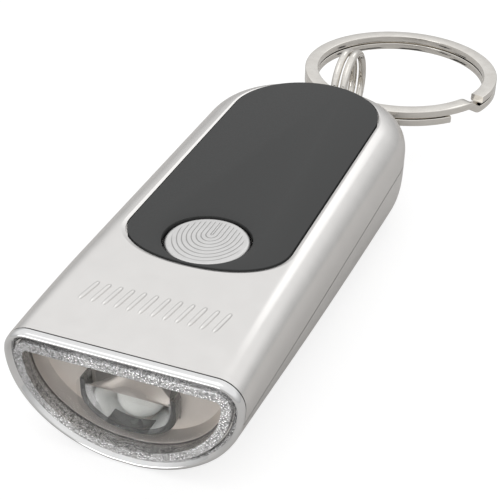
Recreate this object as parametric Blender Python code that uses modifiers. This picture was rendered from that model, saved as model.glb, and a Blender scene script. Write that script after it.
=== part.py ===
"""Keychain flashlight: a flat D-section torch with a thumb button, two coin cells and two split rings.

The origin is the middle of the flat on the belly, which the light rests on. +Z is up through the
button, -Y is the lens end and +Y the key ring end.
"""

import math

import bmesh
import bpy

MM = 0.001

# Clearances
GAP = 0.3 * MM            # between pieces that touch
TRIM_GAP = 0.2 * MM       # round the lens, the inlay and inside the bezel

# Coin cells, which set the width and the height of the case
CELL_DIAMETER = 20.0 * MM
CELL_THICKNESS = 3.2 * MM
CELL_STEP = 0.6 * MM      # height and set-back of the cell's lower shoulder
CELL_SIDE_ROOM = 1.9 * MM

# Case
WALL = 1.2 * MM
END_ROOM = 7.7 * MM       # from the rear screw to the back of the case
SIDE_SWELL = 0.6 * MM     # how much further out each side is at the rounded end than at the lens
FRONT_EDGE_RADIUS = 2.8 * MM    # the rolled edge round the top
BACK_EDGE_RADIUS = 4.0 * MM
END_LENGTH = 12.5 * MM    # how far the rounded end reaches past the straight sides
NOSE_DROP = 0.6 * MM      # how far the top bends down from the inlay to the lens
BELLY_CROP = 0.05 * MM    # what the flat takes off the belly's curve
FRONT_FULLNESS = 2.0      # 2 is an ellipse, more is squarer
BACK_FULLNESS = 4.2
END_FULLNESS = 2.25       # the same for the rounded end, seen from above
PARTING_DROP = 5.3 * MM   # from the top down to the line where the shells meet

# Heights inside, from the belly up
BELLY_ROOM = 1.2 * MM
CRADLE_FLOOR = 0.6 * MM
CONTACT_ROOM = 1.0 * MM
CONTACT_THICKNESS = 0.3 * MM
CEILING_ROOM = 0.7 * MM
PANEL_FLOOR = 0.9 * MM
PANEL_RECESS = 1.0 * MM

# Top panel and button
PANEL_SIDE_MARGIN = 3.9 * MM
PANEL_BACK_MARGIN = 2.2 * MM
PANEL_RIM = 0.25 * MM     # what the inlay leaves in front of the button's hole
PANEL_FRONT_DEPTH = 6.0 * MM
PANEL_FRONT_FULLNESS = 2.2
BUTTON_DIAMETER = 9.2 * MM
BUTTON_SET_BACK = 0.25 * MM
BUTTON_TRAVEL = 0.6 * MM
FLANGE_WIDTH = 0.8 * MM
FLANGE_THICKNESS = 0.6 * MM
STEM_DIAMETER = 3.0 * MM

# Front end
BEZEL_LENGTH = 0.75 * MM
BEZEL_LIP = 1.0 * MM
BEZEL_SLEEVE = 2.1 * MM
BEZEL_SHEET = 0.35 * MM
LENS_THICKNESS = 1.3 * MM
LENS_SET_BACK = 0.1 * MM
GASKET_THICKNESS = 0.4 * MM
GASKET_WIDTH = 1.0 * MM
REFLECTOR_FLANGE = 0.8 * MM
REFLECTOR_WALL = 1.2 * MM
REFLECTOR_DEPTH = 7.2 * MM
REFLECTOR_BACK_SCALE = 0.8
BOWL_BACK_SCALE = 0.5

# LED and circuit board
LED_DIAMETER = 5.0 * MM
LED_FLANGE_WIDTH = 0.4 * MM
LED_FLANGE_LENGTH = 1.0 * MM
LED_LENGTH = 7.4 * MM     # flange to tip
LEAD_DIAMETER = 0.5 * MM
LEAD_PITCH = 2.54 * MM
LEAD_END_ROOM = 2.6 * MM  # from the board's front edge to the end of a lead under it
LEAD_RISE = 1.5 * MM      # how far the leads climb from the lamp to the board
LAMP_TO_BOARD = 3.3 * MM
BOARD_THICKNESS = 0.8 * MM
BOARD_SIDE_ROOM = 2.1 * MM     # from the button's flange to the board's edge
BOARD_LENGTH = 10.3 * MM
BUTTON_ON_BOARD = 7.25 * MM    # from the board's front edge to the button
SWITCH_SIZE = 5.6 * MM
SWITCH_HEIGHT = 0.6 * MM
DOME_DIAMETER = 4.6 * MM
DOME_HEIGHT = 0.5 * MM
DOME_TOP_ROOM = 1.0 * MM  # from the dome up to the button's flange
RESISTOR_SIZE = (2.0 * MM, 1.2 * MM, 0.5 * MM)
RESISTOR_X = -5.6 * MM

# Contacts
CONTACT_WIDTH = 2.0 * MM
CONTACT_REACH = 2.5 * MM  # past the middle of the cells

# Battery cradle
CRADLE_WALL = 0.8 * MM
CRADLE_TO_CONTACT = 0.4 * MM

# Screws and bosses
SCREW_DIAMETER = 1.7 * MM
HEAD_DIAMETER = 3.0 * MM
HEAD_HEIGHT = 1.0 * MM
HEAD_SET_BACK = 0.5 * MM
BOSS_WALL = 0.6 * MM
SCREW_TIP_ROOM = 1.0 * MM
CASE_BOSS_SPLIT = 2.2 * MM     # below the line where the shells meet
BOARD_SCREW_DIAMETER = 1.2 * MM
BOARD_HEAD_DIAMETER = 2.2 * MM
BOARD_HEAD_HEIGHT = 0.7 * MM
BOARD_SCREW_LENGTH = 3.4 * MM
BOARD_SCREW_X = 6.2 * MM
BOARD_SCREW_FORWARD = 5.5 * MM   # ahead of the button
HEAD_TOP_SHARE = 0.8      # these three are shares of the head's radius
SLOT_REACH_SHARE = 0.55
SLOT_HALF_WIDTH_SHARE = 0.13

# Bail and rings
BAIL_WIRE = 1.1 * MM
BAIL_HALF_SPAN = 2.9 * MM
BAIL_FOOT = 2.1 * MM
BAIL_FOOT_DEPTH = 3.7 * MM     # in from the back of the case
BAIL_BEND = 0.9 * MM
SMALL_RING_RADIUS = 5.3 * MM
SMALL_RING_WIRE = 1.05 * MM
SMALL_RING_PITCH = 1.3 * MM
SMALL_RING_TURNS = 1.9
SMALL_RING_END = 255.0    # degrees round the small ring from +Y
KEY_RING_RADIUS = 14.0 * MM
KEY_RING_WIDTH = 1.9 * MM
KEY_RING_TURN = 1.0 * MM
KEY_RING_PITCH = 1.2 * MM
KEY_RING_X = 4.8 * MM
RING_REACH = 4.25 * MM    # from the back of the case to the bail's crossbar
KEY_RING_DROP = 1.343 * MM     # below the line where the shells meet
KEY_RING_TURNS = 1.93
JOG_CENTRE = -31.5        # degrees round the key ring from +X
JOG_DEGREES = 16.0

# Curve resolution
EDGE_STEPS = 5
BELLY_STEPS = 12
SIDE_STEPS = 6
END_STEPS = 16
ROUND_SEGMENTS = 28
SMALL_SEGMENTS = 12
SMALL_RING_POINTS = 30    # to a turn
KEY_RING_POINTS = 36

# Widths and heights worked out from the sizes above
BACK_HALF_WIDTH = CELL_DIAMETER / 2 + CELL_SIDE_ROOM + WALL
FRONT_HALF_WIDTH = BACK_HALF_WIDTH - SIDE_SWELL
PANEL_WIDTH = 2 * (BACK_HALF_WIDTH - PANEL_SIDE_MARGIN)
FLANGE_RADIUS = BUTTON_DIAMETER / 2 + FLANGE_WIDTH
BOARD_WIDTH = 2 * (FLANGE_RADIUS + BOARD_SIDE_ROOM)
CONTACT_X = BOARD_WIDTH / 2 - GAP - CONTACT_WIDTH / 2
CRADLE_WIDTH = 2 * (CONTACT_X - CONTACT_WIDTH / 2 - CRADLE_TO_CONTACT)
CRADLE_RADIUS = CELL_DIAMETER / 2 + GAP + CRADLE_WALL
SCREW_BOSS_RADIUS = SCREW_DIAMETER / 2 + GAP + BOSS_WALL
HEAD_BOSS_RADIUS = HEAD_DIAMETER / 2 + GAP + BOSS_WALL

CRADLE_Z = WALL + BELLY_ROOM
LOWER_CELL_Z = CRADLE_Z + CRADLE_FLOOR + CONTACT_ROOM
UPPER_CELL_Z = LOWER_CELL_Z + CELL_THICKNESS + GAP
UPPER_CELL_TOP = UPPER_CELL_Z + CELL_THICKNESS
CEILING_Z = UPPER_CELL_TOP + GAP + CONTACT_THICKNESS + CEILING_ROOM
PANEL_SEAT_Z = CEILING_Z + PANEL_FLOOR
TOP_Z = PANEL_SEAT_Z + PANEL_RECESS
PARTING_Z = TOP_Z - PARTING_DROP

FLANGE_TOP_Z = CEILING_Z - GAP
DOME_TOP_Z = FLANGE_TOP_Z - FLANGE_THICKNESS - DOME_TOP_ROOM
DOME_Z = DOME_TOP_Z - DOME_HEIGHT
SWITCH_Z = DOME_Z - GAP - SWITCH_HEIGHT
BOARD_TOP_Z = SWITCH_Z - GAP
BOARD_Z = BOARD_TOP_Z - BOARD_THICKNESS
LEAD_END_Z = BOARD_Z - GAP - LEAD_DIAMETER / 2
LED_Z = LEAD_END_Z - LEAD_RISE

HEAD_SEAT_Z = HEAD_SET_BACK + HEAD_HEIGHT + GAP
CASE_BOSS_TOP = PARTING_Z - CASE_BOSS_SPLIT
CASE_SCREW_LENGTH = CEILING_Z - SCREW_TIP_ROOM - (HEAD_SEAT_Z - GAP)

# The length of the case is the sum of what stands in a row inside it
NOSE_LENGTH = (LENS_SET_BACK + LENS_THICKNESS + TRIM_GAP + GASKET_THICKNESS + TRIM_GAP
               + REFLECTOR_DEPTH + GAP + LED_FLANGE_LENGTH + LAMP_TO_BOARD + BUTTON_ON_BOARD)
BUTTON_TO_SCREW = FLANGE_RADIUS + GAP + SCREW_BOSS_RADIUS
SCREW_TO_CELL = HEAD_BOSS_RADIUS + GAP + CRADLE_RADIUS
BODY_LENGTH = NOSE_LENGTH + BUTTON_TO_SCREW + 2 * SCREW_TO_CELL + END_ROOM

FRONT_Y = -BODY_LENGTH / 2
BACK_Y = BODY_LENGTH / 2
ARC_Y = BACK_Y - END_LENGTH
BUTTON_Y = FRONT_Y + NOSE_LENGTH
FRONT_SCREW_Y = BUTTON_Y + BUTTON_TO_SCREW
CELL_Y = FRONT_SCREW_Y + SCREW_TO_CELL
REAR_SCREW_Y = CELL_Y + SCREW_TO_CELL
BAIL_FOOT_Y = BACK_Y - BAIL_FOOT_DEPTH
PANEL_FRONT_Y = BUTTON_Y - BUTTON_DIAMETER / 2 - GAP - PANEL_RIM
PANEL_BACK_Y = BACK_Y - PANEL_BACK_MARGIN

SHELL_FRONT_Y = FRONT_Y + BEZEL_LENGTH + TRIM_GAP
LENS_INSET = BEZEL_LIP + TRIM_GAP
LENS_Y = FRONT_Y + LENS_SET_BACK
GASKET_Y = LENS_Y + LENS_THICKNESS + TRIM_GAP
REFLECTOR_Y = GASKET_Y + GASKET_THICKNESS + TRIM_GAP
STEP_Y = REFLECTOR_Y + REFLECTOR_FLANGE + TRIM_GAP
REFLECTOR_BACK_Y = REFLECTOR_Y + REFLECTOR_DEPTH
LED_BACK_Y = REFLECTOR_BACK_Y + GAP + LED_FLANGE_LENGTH
BOARD_Y = LED_BACK_Y + LAMP_TO_BOARD
BOARD_SCREW_Y = BUTTON_Y - BOARD_SCREW_FORWARD

# The small ring hangs on the bail's crossbar, and the key ring passes through it just inside
BAR_Y = BACK_Y + RING_REACH
KEY_RING_LOW_Y = BAR_Y + BAIL_WIRE / 2 + GAP
KEY_RING_Y = KEY_RING_LOW_Y + math.sqrt(KEY_RING_RADIUS ** 2 - KEY_RING_X ** 2)
KEY_RING_Z = PARTING_Z - KEY_RING_DROP

# The small ring's hole takes in the bail's crossbar at the back and the key ring's lower edge
SMALL_RING_HOLE = SMALL_RING_RADIUS - SMALL_RING_WIRE
BAR_BACK_Y = BAR_Y - BAIL_WIRE / 2 - GAP
KEY_RING_FOOT_Z = KEY_RING_Z - (KEY_RING_PITCH + KEY_RING_TURN) / 2 - GAP
HELD_ACROSS = KEY_RING_LOW_Y - BAR_BACK_Y
HELD_UP = PARTING_Z - KEY_RING_FOOT_Z
HELD = math.hypot(HELD_ACROSS, HELD_UP)
HELD_TO_MIDDLE = math.sqrt(SMALL_RING_HOLE ** 2 - (HELD / 2) ** 2)
SMALL_RING_Y = (BAR_BACK_Y + KEY_RING_LOW_Y) / 2 + HELD_TO_MIDDLE * HELD_UP / HELD
SMALL_RING_Z = (PARTING_Z + KEY_RING_FOOT_Z) / 2 + HELD_TO_MIDDLE * HELD_ACROSS / HELD


for old in list(bpy.data.objects):
    bpy.data.objects.remove(old, do_unlink=True)

parts = bpy.data.collections.new("keychain_flashlight")
cutters = bpy.data.collections.new("cutters")
for collection in (parts, cutters):
    bpy.context.scene.collection.children.link(collection)


# ---------------------------------------------------------------- making and cutting

def material(name, color, roughness, metallic=0.0, alpha=1.0):
    """A plain Principled material with the piece's colour and finish."""
    made = bpy.data.materials.new(name)
    made.use_nodes = True
    shader = made.node_tree.nodes["Principled BSDF"]
    shader.inputs["Base Color"].default_value = (*color, 1.0)
    shader.inputs["Roughness"].default_value = roughness
    shader.inputs["Metallic"].default_value = metallic
    shader.inputs["Alpha"].default_value = alpha
    return made


def add(name, mesh, collection=cutters):
    """An object with this mesh; a cutter is hidden from the render."""
    made = bpy.data.objects.new(name, mesh)
    collection.objects.link(made)
    if collection is cutters:
        made.hide_render = True
        made.display_type = "WIRE"
    return made


def as_part(made, finish):
    """Turns a cutter into a finished, smooth-shaded sub-part."""
    cutters.objects.unlink(made)
    parts.objects.link(made)
    made.hide_render = False
    made.display_type = "TEXTURED"
    made.data.materials.append(finish)
    made.data.shade_smooth()
    made.data.set_sharp_from_angle(angle=math.radians(35))
    return made


def meshed(name, fill):
    """A cutter whose mesh is filled in by the function fill(bm)."""
    bm = bmesh.new()
    fill(bm)
    bmesh.ops.remove_doubles(bm, verts=bm.verts, dist=1e-7)
    bmesh.ops.recalc_face_normals(bm, faces=bm.faces)
    mesh = bpy.data.meshes.new(name)
    bm.to_mesh(mesh)
    bm.free()
    return add(name, mesh)


def combine(target, tool, operation):
    """Adds a Boolean modifier that joins or cuts with another object."""
    step = target.modifiers.new(tool.name, "BOOLEAN")
    step.operation = operation
    step.object = tool
    step.solver = "EXACT"


def cut(target, *tools):
    for tool in tools:
        combine(target, tool, "DIFFERENCE")


def join(target, *tools):
    for tool in tools:
        combine(target, tool, "UNION")


def block(name, low, high):
    """A box between two corners."""
    def fill(bm):
        bmesh.ops.create_cube(bm, size=1.0)
        for vert in bm.verts:
            for axis in range(3):
                vert.co[axis] = high[axis] if vert.co[axis] > 0 else low[axis]
    return meshed(name, fill)


def rod(name, radius, low_z, high_z, x=0.0, y=0.0, segments=ROUND_SEGMENTS):
    """An upright cylinder between two heights."""
    def fill(bm):
        bmesh.ops.create_cone(bm, cap_ends=True, segments=segments,
                              radius1=radius, radius2=radius, depth=high_z - low_z)
    made = meshed(name, fill)
    made.location = (x, y, (low_z + high_z) / 2)
    return made


def turned(name, profile, location=(0.0, 0.0, 0.0), rotation=(0.0, 0.0, 0.0),
           segments=ROUND_SEGMENTS):
    """A turned piece; the profile of (radius, height) runs from the top of the axis to the bottom."""
    mesh = bpy.data.meshes.new(name)
    points = [(radius, 0.0, height) for radius, height in profile]
    mesh.from_pydata(points, [(i, i + 1) for i in range(len(points) - 1)], [])
    made = add(name, mesh)
    screw = made.modifiers.new("turn", "SCREW")
    screw.steps = segments
    screw.render_steps = segments
    screw.use_merge_vertices = True
    screw.merge_threshold = 1e-6
    made.location = location
    made.rotation_euler = rotation
    return made


def from_curve(name, curve):
    """The closed mesh of a curve object, in place of the curve."""
    source = add(name + "_curve", curve)
    evaluated = source.evaluated_get(bpy.context.evaluated_depsgraph_get())
    mesh = bpy.data.meshes.new_from_object(evaluated)
    bpy.data.objects.remove(source, do_unlink=True)
    bm = bmesh.new()
    bm.from_mesh(mesh)
    bmesh.ops.remove_doubles(bm, verts=bm.verts, dist=1e-6)
    bmesh.ops.recalc_face_normals(bm, faces=bm.faces)
    bm.to_mesh(mesh)
    bm.free()
    return add(name, mesh)


def plate(name, outline, low_z, high_z):
    """A flat piece with the outline of (x, y) points, between two heights."""
    curve = bpy.data.curves.new(name, "CURVE")
    curve.dimensions = "2D"
    curve.fill_mode = "BOTH"
    curve.extrude = (high_z - low_z) / 2
    spline = curve.splines.new("POLY")
    spline.points.add(len(outline) - 1)
    for point, (x, y) in zip(spline.points, outline):
        point.co = (x, y, 0.0, 1.0)
    spline.use_cyclic_u = True
    made = from_curve(name, curve)
    made.location.z = (low_z + high_z) / 2
    return made


def wire(name, route, diameter=None, section=None):
    """A bar along a route: round, or with the cross-section of a flat curve object."""
    curve = bpy.data.curves.new(name, "CURVE")
    curve.dimensions = "3D"
    curve.twist_mode = "Z_UP"
    curve.use_fill_caps = True
    if section:
        curve.bevel_mode = "OBJECT"
        curve.bevel_object = section
    else:
        curve.bevel_depth = diameter / 2
        curve.bevel_resolution = 2
    spline = curve.splines.new("POLY")
    spline.points.add(len(route) - 1)
    for point, place in zip(spline.points, route):
        point.co = (*place, 1.0)
    return from_curve(name, curve)


# ---------------------------------------------------------------- the D-shaped section

def between(front, back, share):
    """A size part of the way from its value at the lens end to that at the rounded end."""
    return front + (back - front) * share


def half_section(inset, top, floor, y):
    """(x, z) points of the section's right half, from the middle of the top to that of the belly."""
    share = min(max((y - FRONT_Y) / (ARC_Y - FRONT_Y), 0.0), 1.0)
    bend = max((PANEL_FRONT_Y - y) / (PANEL_FRONT_Y - FRONT_Y), 0.0)
    crown = TOP_Z - NOSE_DROP * bend ** 2
    top = min(top, crown - inset)
    fullness = between(FRONT_FULLNESS, BACK_FULLNESS, share)
    radius = between(FRONT_EDGE_RADIUS, BACK_EDGE_RADIUS, share)
    width = between(FRONT_HALF_WIDTH, BACK_HALF_WIDTH, share) - inset
    edge = radius - inset
    widest = crown - radius
    depth = widest + BELLY_CROP - inset
    points = [(0.0, top)]
    for step in range(EDGE_STEPS + 1):
        angle = math.pi / 2 * (1 - step / EDGE_STEPS)
        points.append((width - edge + edge * math.cos(angle), widest + (top - widest) * math.sin(angle)))
    last = math.asin(((widest - floor) / depth) ** (fullness / 2))
    for step in range(1, BELLY_STEPS + 1):
        angle = last * step / BELLY_STEPS
        points.append((width * math.cos(angle) ** (2 / fullness),
                       widest - depth * math.sin(angle) ** (2 / fullness)))
    points.append((0.0, floor))
    return points


def round_end(steps, fullness):
    """Half a superellipse from (1, 0) through (0, 1) to (-1, 0)."""
    for step in range(steps + 1):
        angle = math.pi * step / steps
        across = math.copysign(abs(math.cos(angle)) ** (2 / fullness), math.cos(angle))
        yield across, math.sin(angle) ** (2 / fullness)


def case_form(name, inset, top, floor, front_y):
    """The case's outer form, or one set in from it: the section led down both sides and round the end."""
    end_share = (END_LENGTH - inset) / (BACK_HALF_WIDTH - inset)
    stations = [front_y + (ARC_Y - front_y) * step / SIDE_STEPS for step in range(SIDE_STEPS)]
    stops = [(y, 1.0, 0.0) for y in stations]
    for across, along in round_end(END_STEPS, END_FULLNESS):
        stops.append((ARC_Y, across, end_share * along))
    stops += [(y, -1.0, 0.0) for y in reversed(stations)]

    def fill(bm):
        rows = []
        for y, across, along in stops:
            section = half_section(inset, top, floor, y)
            rows.append([bm.verts.new((x * across, y + x * along, z)) for x, z in section])
        for row, following in zip(rows, rows[1:]):
            for index in range(len(row) - 1):
                bm.faces.new((row[index], row[index + 1], following[index + 1], following[index]))
        bmesh.ops.remove_doubles(bm, verts=bm.verts, dist=1e-7)
        bmesh.ops.contextual_create(bm, geom=[edge for edge in bm.edges if edge.is_boundary])
        bmesh.ops.triangulate(bm, faces=bm.faces)
    return meshed(name, fill)


def d_loop(inset, top=None, floor=None):
    """The whole outline of the lens end, set in by the inset, as (x, z) points."""
    half = half_section(inset,
                        TOP_Z - inset if top is None else top,
                        inset if floor is None else floor,
                        FRONT_Y)
    return half + [(-x, z) for x, z in reversed(half[1:-1])]


def d_block(name, loop, front_y, back_y, back_scale=1.0):
    """A block with the D outline at the front, shrinking towards the lamp's axis at the back."""
    def fill(bm):
        front = [bm.verts.new((x, front_y, z)) for x, z in loop]
        back = [bm.verts.new((x * back_scale, back_y, LED_Z + (z - LED_Z) * back_scale)) for x, z in loop]
        count = len(loop)
        for index in range(count):
            after = (index + 1) % count
            bm.faces.new((front[index], front[after], back[after], back[index]))
        bm.faces.new(front)
        bm.faces.new(back)
    return meshed(name, fill)


# ---------------------------------------------------------------- shared finishes

SATIN_SILVER = (0.62, 0.61, 0.60)
CHROME = (0.80, 0.80, 0.80)
NICKEL = (0.70, 0.68, 0.65)
STEEL = (0.60, 0.60, 0.61)
BLACK = (0.02, 0.02, 0.02)

screw_finish = material("zinc_screw", STEEL, 0.35, 1.0)
board_screw_finish = material("board_screw", STEEL, 0.4, 1.0)


# ---------------------------------------------------------------- case

def panel_outline(inset):
    """The inlay: straight sides, a round back end and a blunter front end."""
    half = PANEL_WIDTH / 2 - inset
    back_y = PANEL_BACK_Y - PANEL_WIDTH / 2
    front_y = PANEL_FRONT_Y + PANEL_FRONT_DEPTH
    depth = PANEL_FRONT_DEPTH - inset
    points = [(half * across, back_y + half * along) for across, along in round_end(END_STEPS, 2.0)]
    for across, along in round_end(END_STEPS, PANEL_FRONT_FULLNESS):
        points.append((-half * across, front_y - depth * along))
    return points


def case_blank(name):
    """The hollow case before it is split, open at the lens end."""
    blank = case_form(name, 0.0, TOP_Z, 0.0, SHELL_FRONT_Y)
    cavity = case_form(name + "_cavity", WALL, CEILING_Z, WALL, STEP_Y)
    mouth_inset = BEZEL_LIP - BEZEL_SHEET - TRIM_GAP
    mouth = d_block(name + "_mouth", d_loop(mouth_inset), SHELL_FRONT_Y - WALL, STEP_Y + GAP / 3)
    cut(blank, cavity, mouth)
    return blank


def leg_holes(name):
    """Holes through the end wall for the bail's two legs."""
    for side in (-1, 1):
        def fill(bm):
            bmesh.ops.create_cone(bm, cap_ends=True, segments=ROUND_SEGMENTS // 2,
                                  radius1=BAIL_WIRE / 2 + GAP, radius2=BAIL_WIRE / 2 + GAP,
                                  depth=BACK_Y - BAIL_FOOT_Y + WALL)
        hole = meshed(f"{name}_leg_hole_{side}", fill)
        hole.rotation_euler = (math.pi / 2, 0.0, 0.0)
        hole.location = (side * BAIL_HALF_SPAN, (BACK_Y + BAIL_FOOT_Y + WALL) / 2, PARTING_Z)
        yield hole


def half_space(name, low_z, high_z):
    """A box that takes away one half of the case at the parting line."""
    reach = BODY_LENGTH
    return block(name, (-reach, -reach, low_z), (reach, reach, high_z))


CASE_SCREWS = {"case_screw_front": FRONT_SCREW_Y, "case_screw_rear": REAR_SCREW_Y}
BOARD_SCREWS = {"board_screw_left": -BOARD_SCREW_X, "board_screw_right": BOARD_SCREW_X}
OVERLAP = 0.4 * MM        # how far a boss runs into the wall that it grows from


def upper_shell():
    shell = case_blank("upper_shell")
    cut(shell, half_space("below_parting", -TOP_Z, PARTING_Z + GAP / 2))
    screw_hole = SCREW_DIAMETER / 2 + GAP
    for name, y in CASE_SCREWS.items():
        boss = rod(name + "_upper_boss", SCREW_BOSS_RADIUS, CASE_BOSS_TOP + GAP,
                   CEILING_Z + OVERLAP, y=y, segments=SMALL_SEGMENTS * 2)
        join(shell, boss)
        cut(shell, rod(name + "_upper_hole", screw_hole, 0.0, HEAD_SEAT_Z + CASE_SCREW_LENGTH, y=y,
                       segments=SMALL_SEGMENTS))
    board_hole = BOARD_SCREW_DIAMETER / 2 + GAP
    for name, x in BOARD_SCREWS.items():
        boss = rod(name + "_boss", board_hole + BOSS_WALL, BOARD_TOP_Z + GAP,
                   CEILING_Z + OVERLAP, x, BOARD_SCREW_Y, SMALL_SEGMENTS)
        join(shell, boss)
        cut(shell, rod(name + "_hole", board_hole, 0.0, BOARD_Z + BOARD_SCREW_LENGTH + GAP,
                       x, BOARD_SCREW_Y, SMALL_SEGMENTS))
    cut(shell,
        plate("panel_recess", panel_outline(-TRIM_GAP), PANEL_SEAT_Z, TOP_Z + WALL),
        rod("button_hole", BUTTON_DIAMETER / 2 + GAP, CEILING_Z - GAP, TOP_Z, y=BUTTON_Y),
        *leg_holes("upper"))
    return as_part(shell, material("shell_silver_upper", SATIN_SILVER, 0.25, 1.0))


def lower_shell():
    shell = case_blank("lower_shell")
    cut(shell, half_space("above_parting", PARTING_Z - GAP / 2, TOP_Z * 2))
    screw_hole = SCREW_DIAMETER / 2 + GAP
    head_hole = HEAD_DIAMETER / 2 + GAP
    for name, y in CASE_SCREWS.items():
        join(shell, rod(name + "_lower_boss", HEAD_BOSS_RADIUS, WALL - OVERLAP, CASE_BOSS_TOP, y=y))
        cut(shell,
            rod(name + "_head_hole", head_hole, -WALL, HEAD_SEAT_Z, y=y),
            rod(name + "_lower_hole", screw_hole, 0.0, CASE_BOSS_TOP + WALL, y=y,
                segments=SMALL_SEGMENTS))
    cut(shell, *leg_holes("lower"))
    return as_part(shell, material("shell_silver_lower", SATIN_SILVER, 0.25, 1.0))


def top_panel():
    panel = plate("top_panel", panel_outline(0.0), PANEL_SEAT_Z + TRIM_GAP, TOP_Z)
    cut(panel, rod("panel_button_hole", BUTTON_DIAMETER / 2 + GAP, PANEL_SEAT_Z, TOP_Z + WALL,
                   y=BUTTON_Y))
    return as_part(panel, material("panel_charcoal", (0.07, 0.075, 0.073), 0.6))


# ---------------------------------------------------------------- lens end

def front_bezel():
    """A drawn trim: a lip across the front and a thin sleeve pushed into the case's mouth."""
    bezel = d_block("front_bezel", d_loop(0.0), FRONT_Y, FRONT_Y + BEZEL_LENGTH)
    sleeve_inset = BEZEL_LIP - BEZEL_SHEET
    join(bezel, d_block("bezel_sleeve", d_loop(sleeve_inset), FRONT_Y + BEZEL_LENGTH / 2,
                        FRONT_Y + BEZEL_SLEEVE))
    cut(bezel, d_block("bezel_opening", d_loop(BEZEL_LIP), FRONT_Y - WALL, FRONT_Y + WALL * 3))
    return as_part(bezel, material("bezel_chrome", CHROME, 0.08, 1.0))


def lens():
    window = d_block("lens", d_loop(LENS_INSET), LENS_Y, LENS_Y + LENS_THICKNESS)
    return as_part(window, material("lens_clear", (0.92, 0.93, 0.93), 0.05, alpha=0.35))


def lens_gasket():
    gasket = d_block("lens_gasket", d_loop(LENS_INSET), GASKET_Y, GASKET_Y + GASKET_THICKNESS)
    cut(gasket, d_block("gasket_opening", d_loop(LENS_INSET + GASKET_WIDTH), GASKET_Y - WALL,
                        GASKET_Y + WALL))
    return as_part(gasket, material("gasket_black", BLACK, 0.7))


def reflector():
    """A mirrored bowl with a flange round its mouth and a hole for the lamp in its back."""
    mirror = d_block("reflector", d_loop(WALL + GAP, top=CEILING_Z - GAP), REFLECTOR_Y,
                     REFLECTOR_BACK_Y, REFLECTOR_BACK_SCALE)
    join(mirror, d_block("reflector_rim", d_loop(LENS_INSET), REFLECTOR_Y,
                         REFLECTOR_Y + REFLECTOR_FLANGE))
    bowl_depth = REFLECTOR_DEPTH - REFLECTOR_WALL
    bowl_inset = LENS_INSET + REFLECTOR_WALL
    cut(mirror,
        d_block("bowl", d_loop(bowl_inset, top=CEILING_Z - REFLECTOR_WALL), REFLECTOR_Y - TRIM_GAP,
                REFLECTOR_Y + bowl_depth, BOWL_BACK_SCALE))
    lamp_hole = rod("lamp_hole", LED_DIAMETER / 2 + GAP, -REFLECTOR_DEPTH, REFLECTOR_DEPTH)
    lamp_hole.rotation_euler = (math.pi / 2, 0.0, 0.0)
    lamp_hole.location = (0.0, REFLECTOR_BACK_Y, LED_Z)
    cut(mirror, lamp_hole)
    return as_part(mirror, material("reflector_mirror", (0.75, 0.72, 0.68), 0.12, 1.0))


# ---------------------------------------------------------------- button and switch

def button():
    """The thumb button: a cap, a flange that keeps it in, and a stem down to the switch."""
    cap = BUTTON_DIAMETER / 2
    top = TOP_Z - BUTTON_SET_BACK
    flange_low = FLANGE_TOP_Z - FLANGE_THICKNESS
    stem_low = DOME_TOP_Z + GAP
    profile = [
        (0.0, top),
        (cap - GAP, top),
        (cap, top - GAP),
        (cap, FLANGE_TOP_Z),
        (FLANGE_RADIUS, FLANGE_TOP_Z),
        (FLANGE_RADIUS, flange_low),
        (STEM_DIAMETER / 2, flange_low),
        (STEM_DIAMETER / 2, stem_low),
        (0.0, stem_low),
    ]
    made = turned("button", profile, (0.0, BUTTON_Y, 0.0))
    return as_part(made, material("button_satin", (0.70, 0.70, 0.69), 0.35, 0.8))


def switch_base():
    half = SWITCH_SIZE / 2
    base = block("switch_base", (-half, BUTTON_Y - half, SWITCH_Z),
                 (half, BUTTON_Y + half, SWITCH_Z + SWITCH_HEIGHT))
    return as_part(base, material("switch_base_black", (0.03, 0.03, 0.03), 0.5))


def switch_dome():
    """The snap dome, a low spherical cap."""
    radius = DOME_DIAMETER / 2
    sphere = (radius ** 2 + DOME_HEIGHT ** 2) / (2 * DOME_HEIGHT)
    spread = math.asin(radius / sphere)
    steps = 6
    profile = []
    for step in range(steps + 1):
        angle = spread * step / steps
        profile.append((sphere * math.sin(angle), DOME_TOP_Z - sphere * (1 - math.cos(angle))))
    profile.append((0.0, DOME_Z))
    made = turned("switch_dome", profile, (0.0, BUTTON_Y, 0.0))
    return as_part(made, material("dome_steel", STEEL, 0.2, 1.0))


# ---------------------------------------------------------------- lamp and circuit board

def led():
    """A round-nosed lamp lying along the reflector's axis, its flange behind the reflector."""
    radius = LED_DIAMETER / 2
    flange = radius + LED_FLANGE_WIDTH
    nose = LED_LENGTH - radius
    steps = 8
    profile = []
    for step in range(steps + 1):
        angle = math.pi / 2 * step / steps
        profile.append((radius * math.sin(angle), nose + radius * math.cos(angle)))
    profile += [
        (radius, 0.0),
        (flange, 0.0),
        (flange, -LED_FLANGE_LENGTH),
        (0.0, -LED_FLANGE_LENGTH),
    ]
    made = turned("led", profile, (0.0, LED_BACK_Y - LED_FLANGE_LENGTH, LED_Z), (math.pi / 2, 0.0, 0.0))
    return as_part(made, material("led_epoxy", (0.85, 0.88, 0.80), 0.15, alpha=0.8))


def led_lead(name, side):
    """A lamp wire that runs back and climbs to the underside of the circuit board."""
    x = side * LEAD_PITCH / 2
    bend_y = LED_BACK_Y + LAMP_TO_BOARD / 3
    route = [
        (x, LED_BACK_Y + GAP, LED_Z),
        (x, bend_y, LED_Z),
        (x, bend_y + LEAD_RISE, LEAD_END_Z),
        (x, BOARD_Y + LEAD_END_ROOM, LEAD_END_Z),
    ]
    lead = wire(name, route, diameter=LEAD_DIAMETER)
    return as_part(lead, material(name + "_tin", STEEL, 0.3, 1.0))


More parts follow.
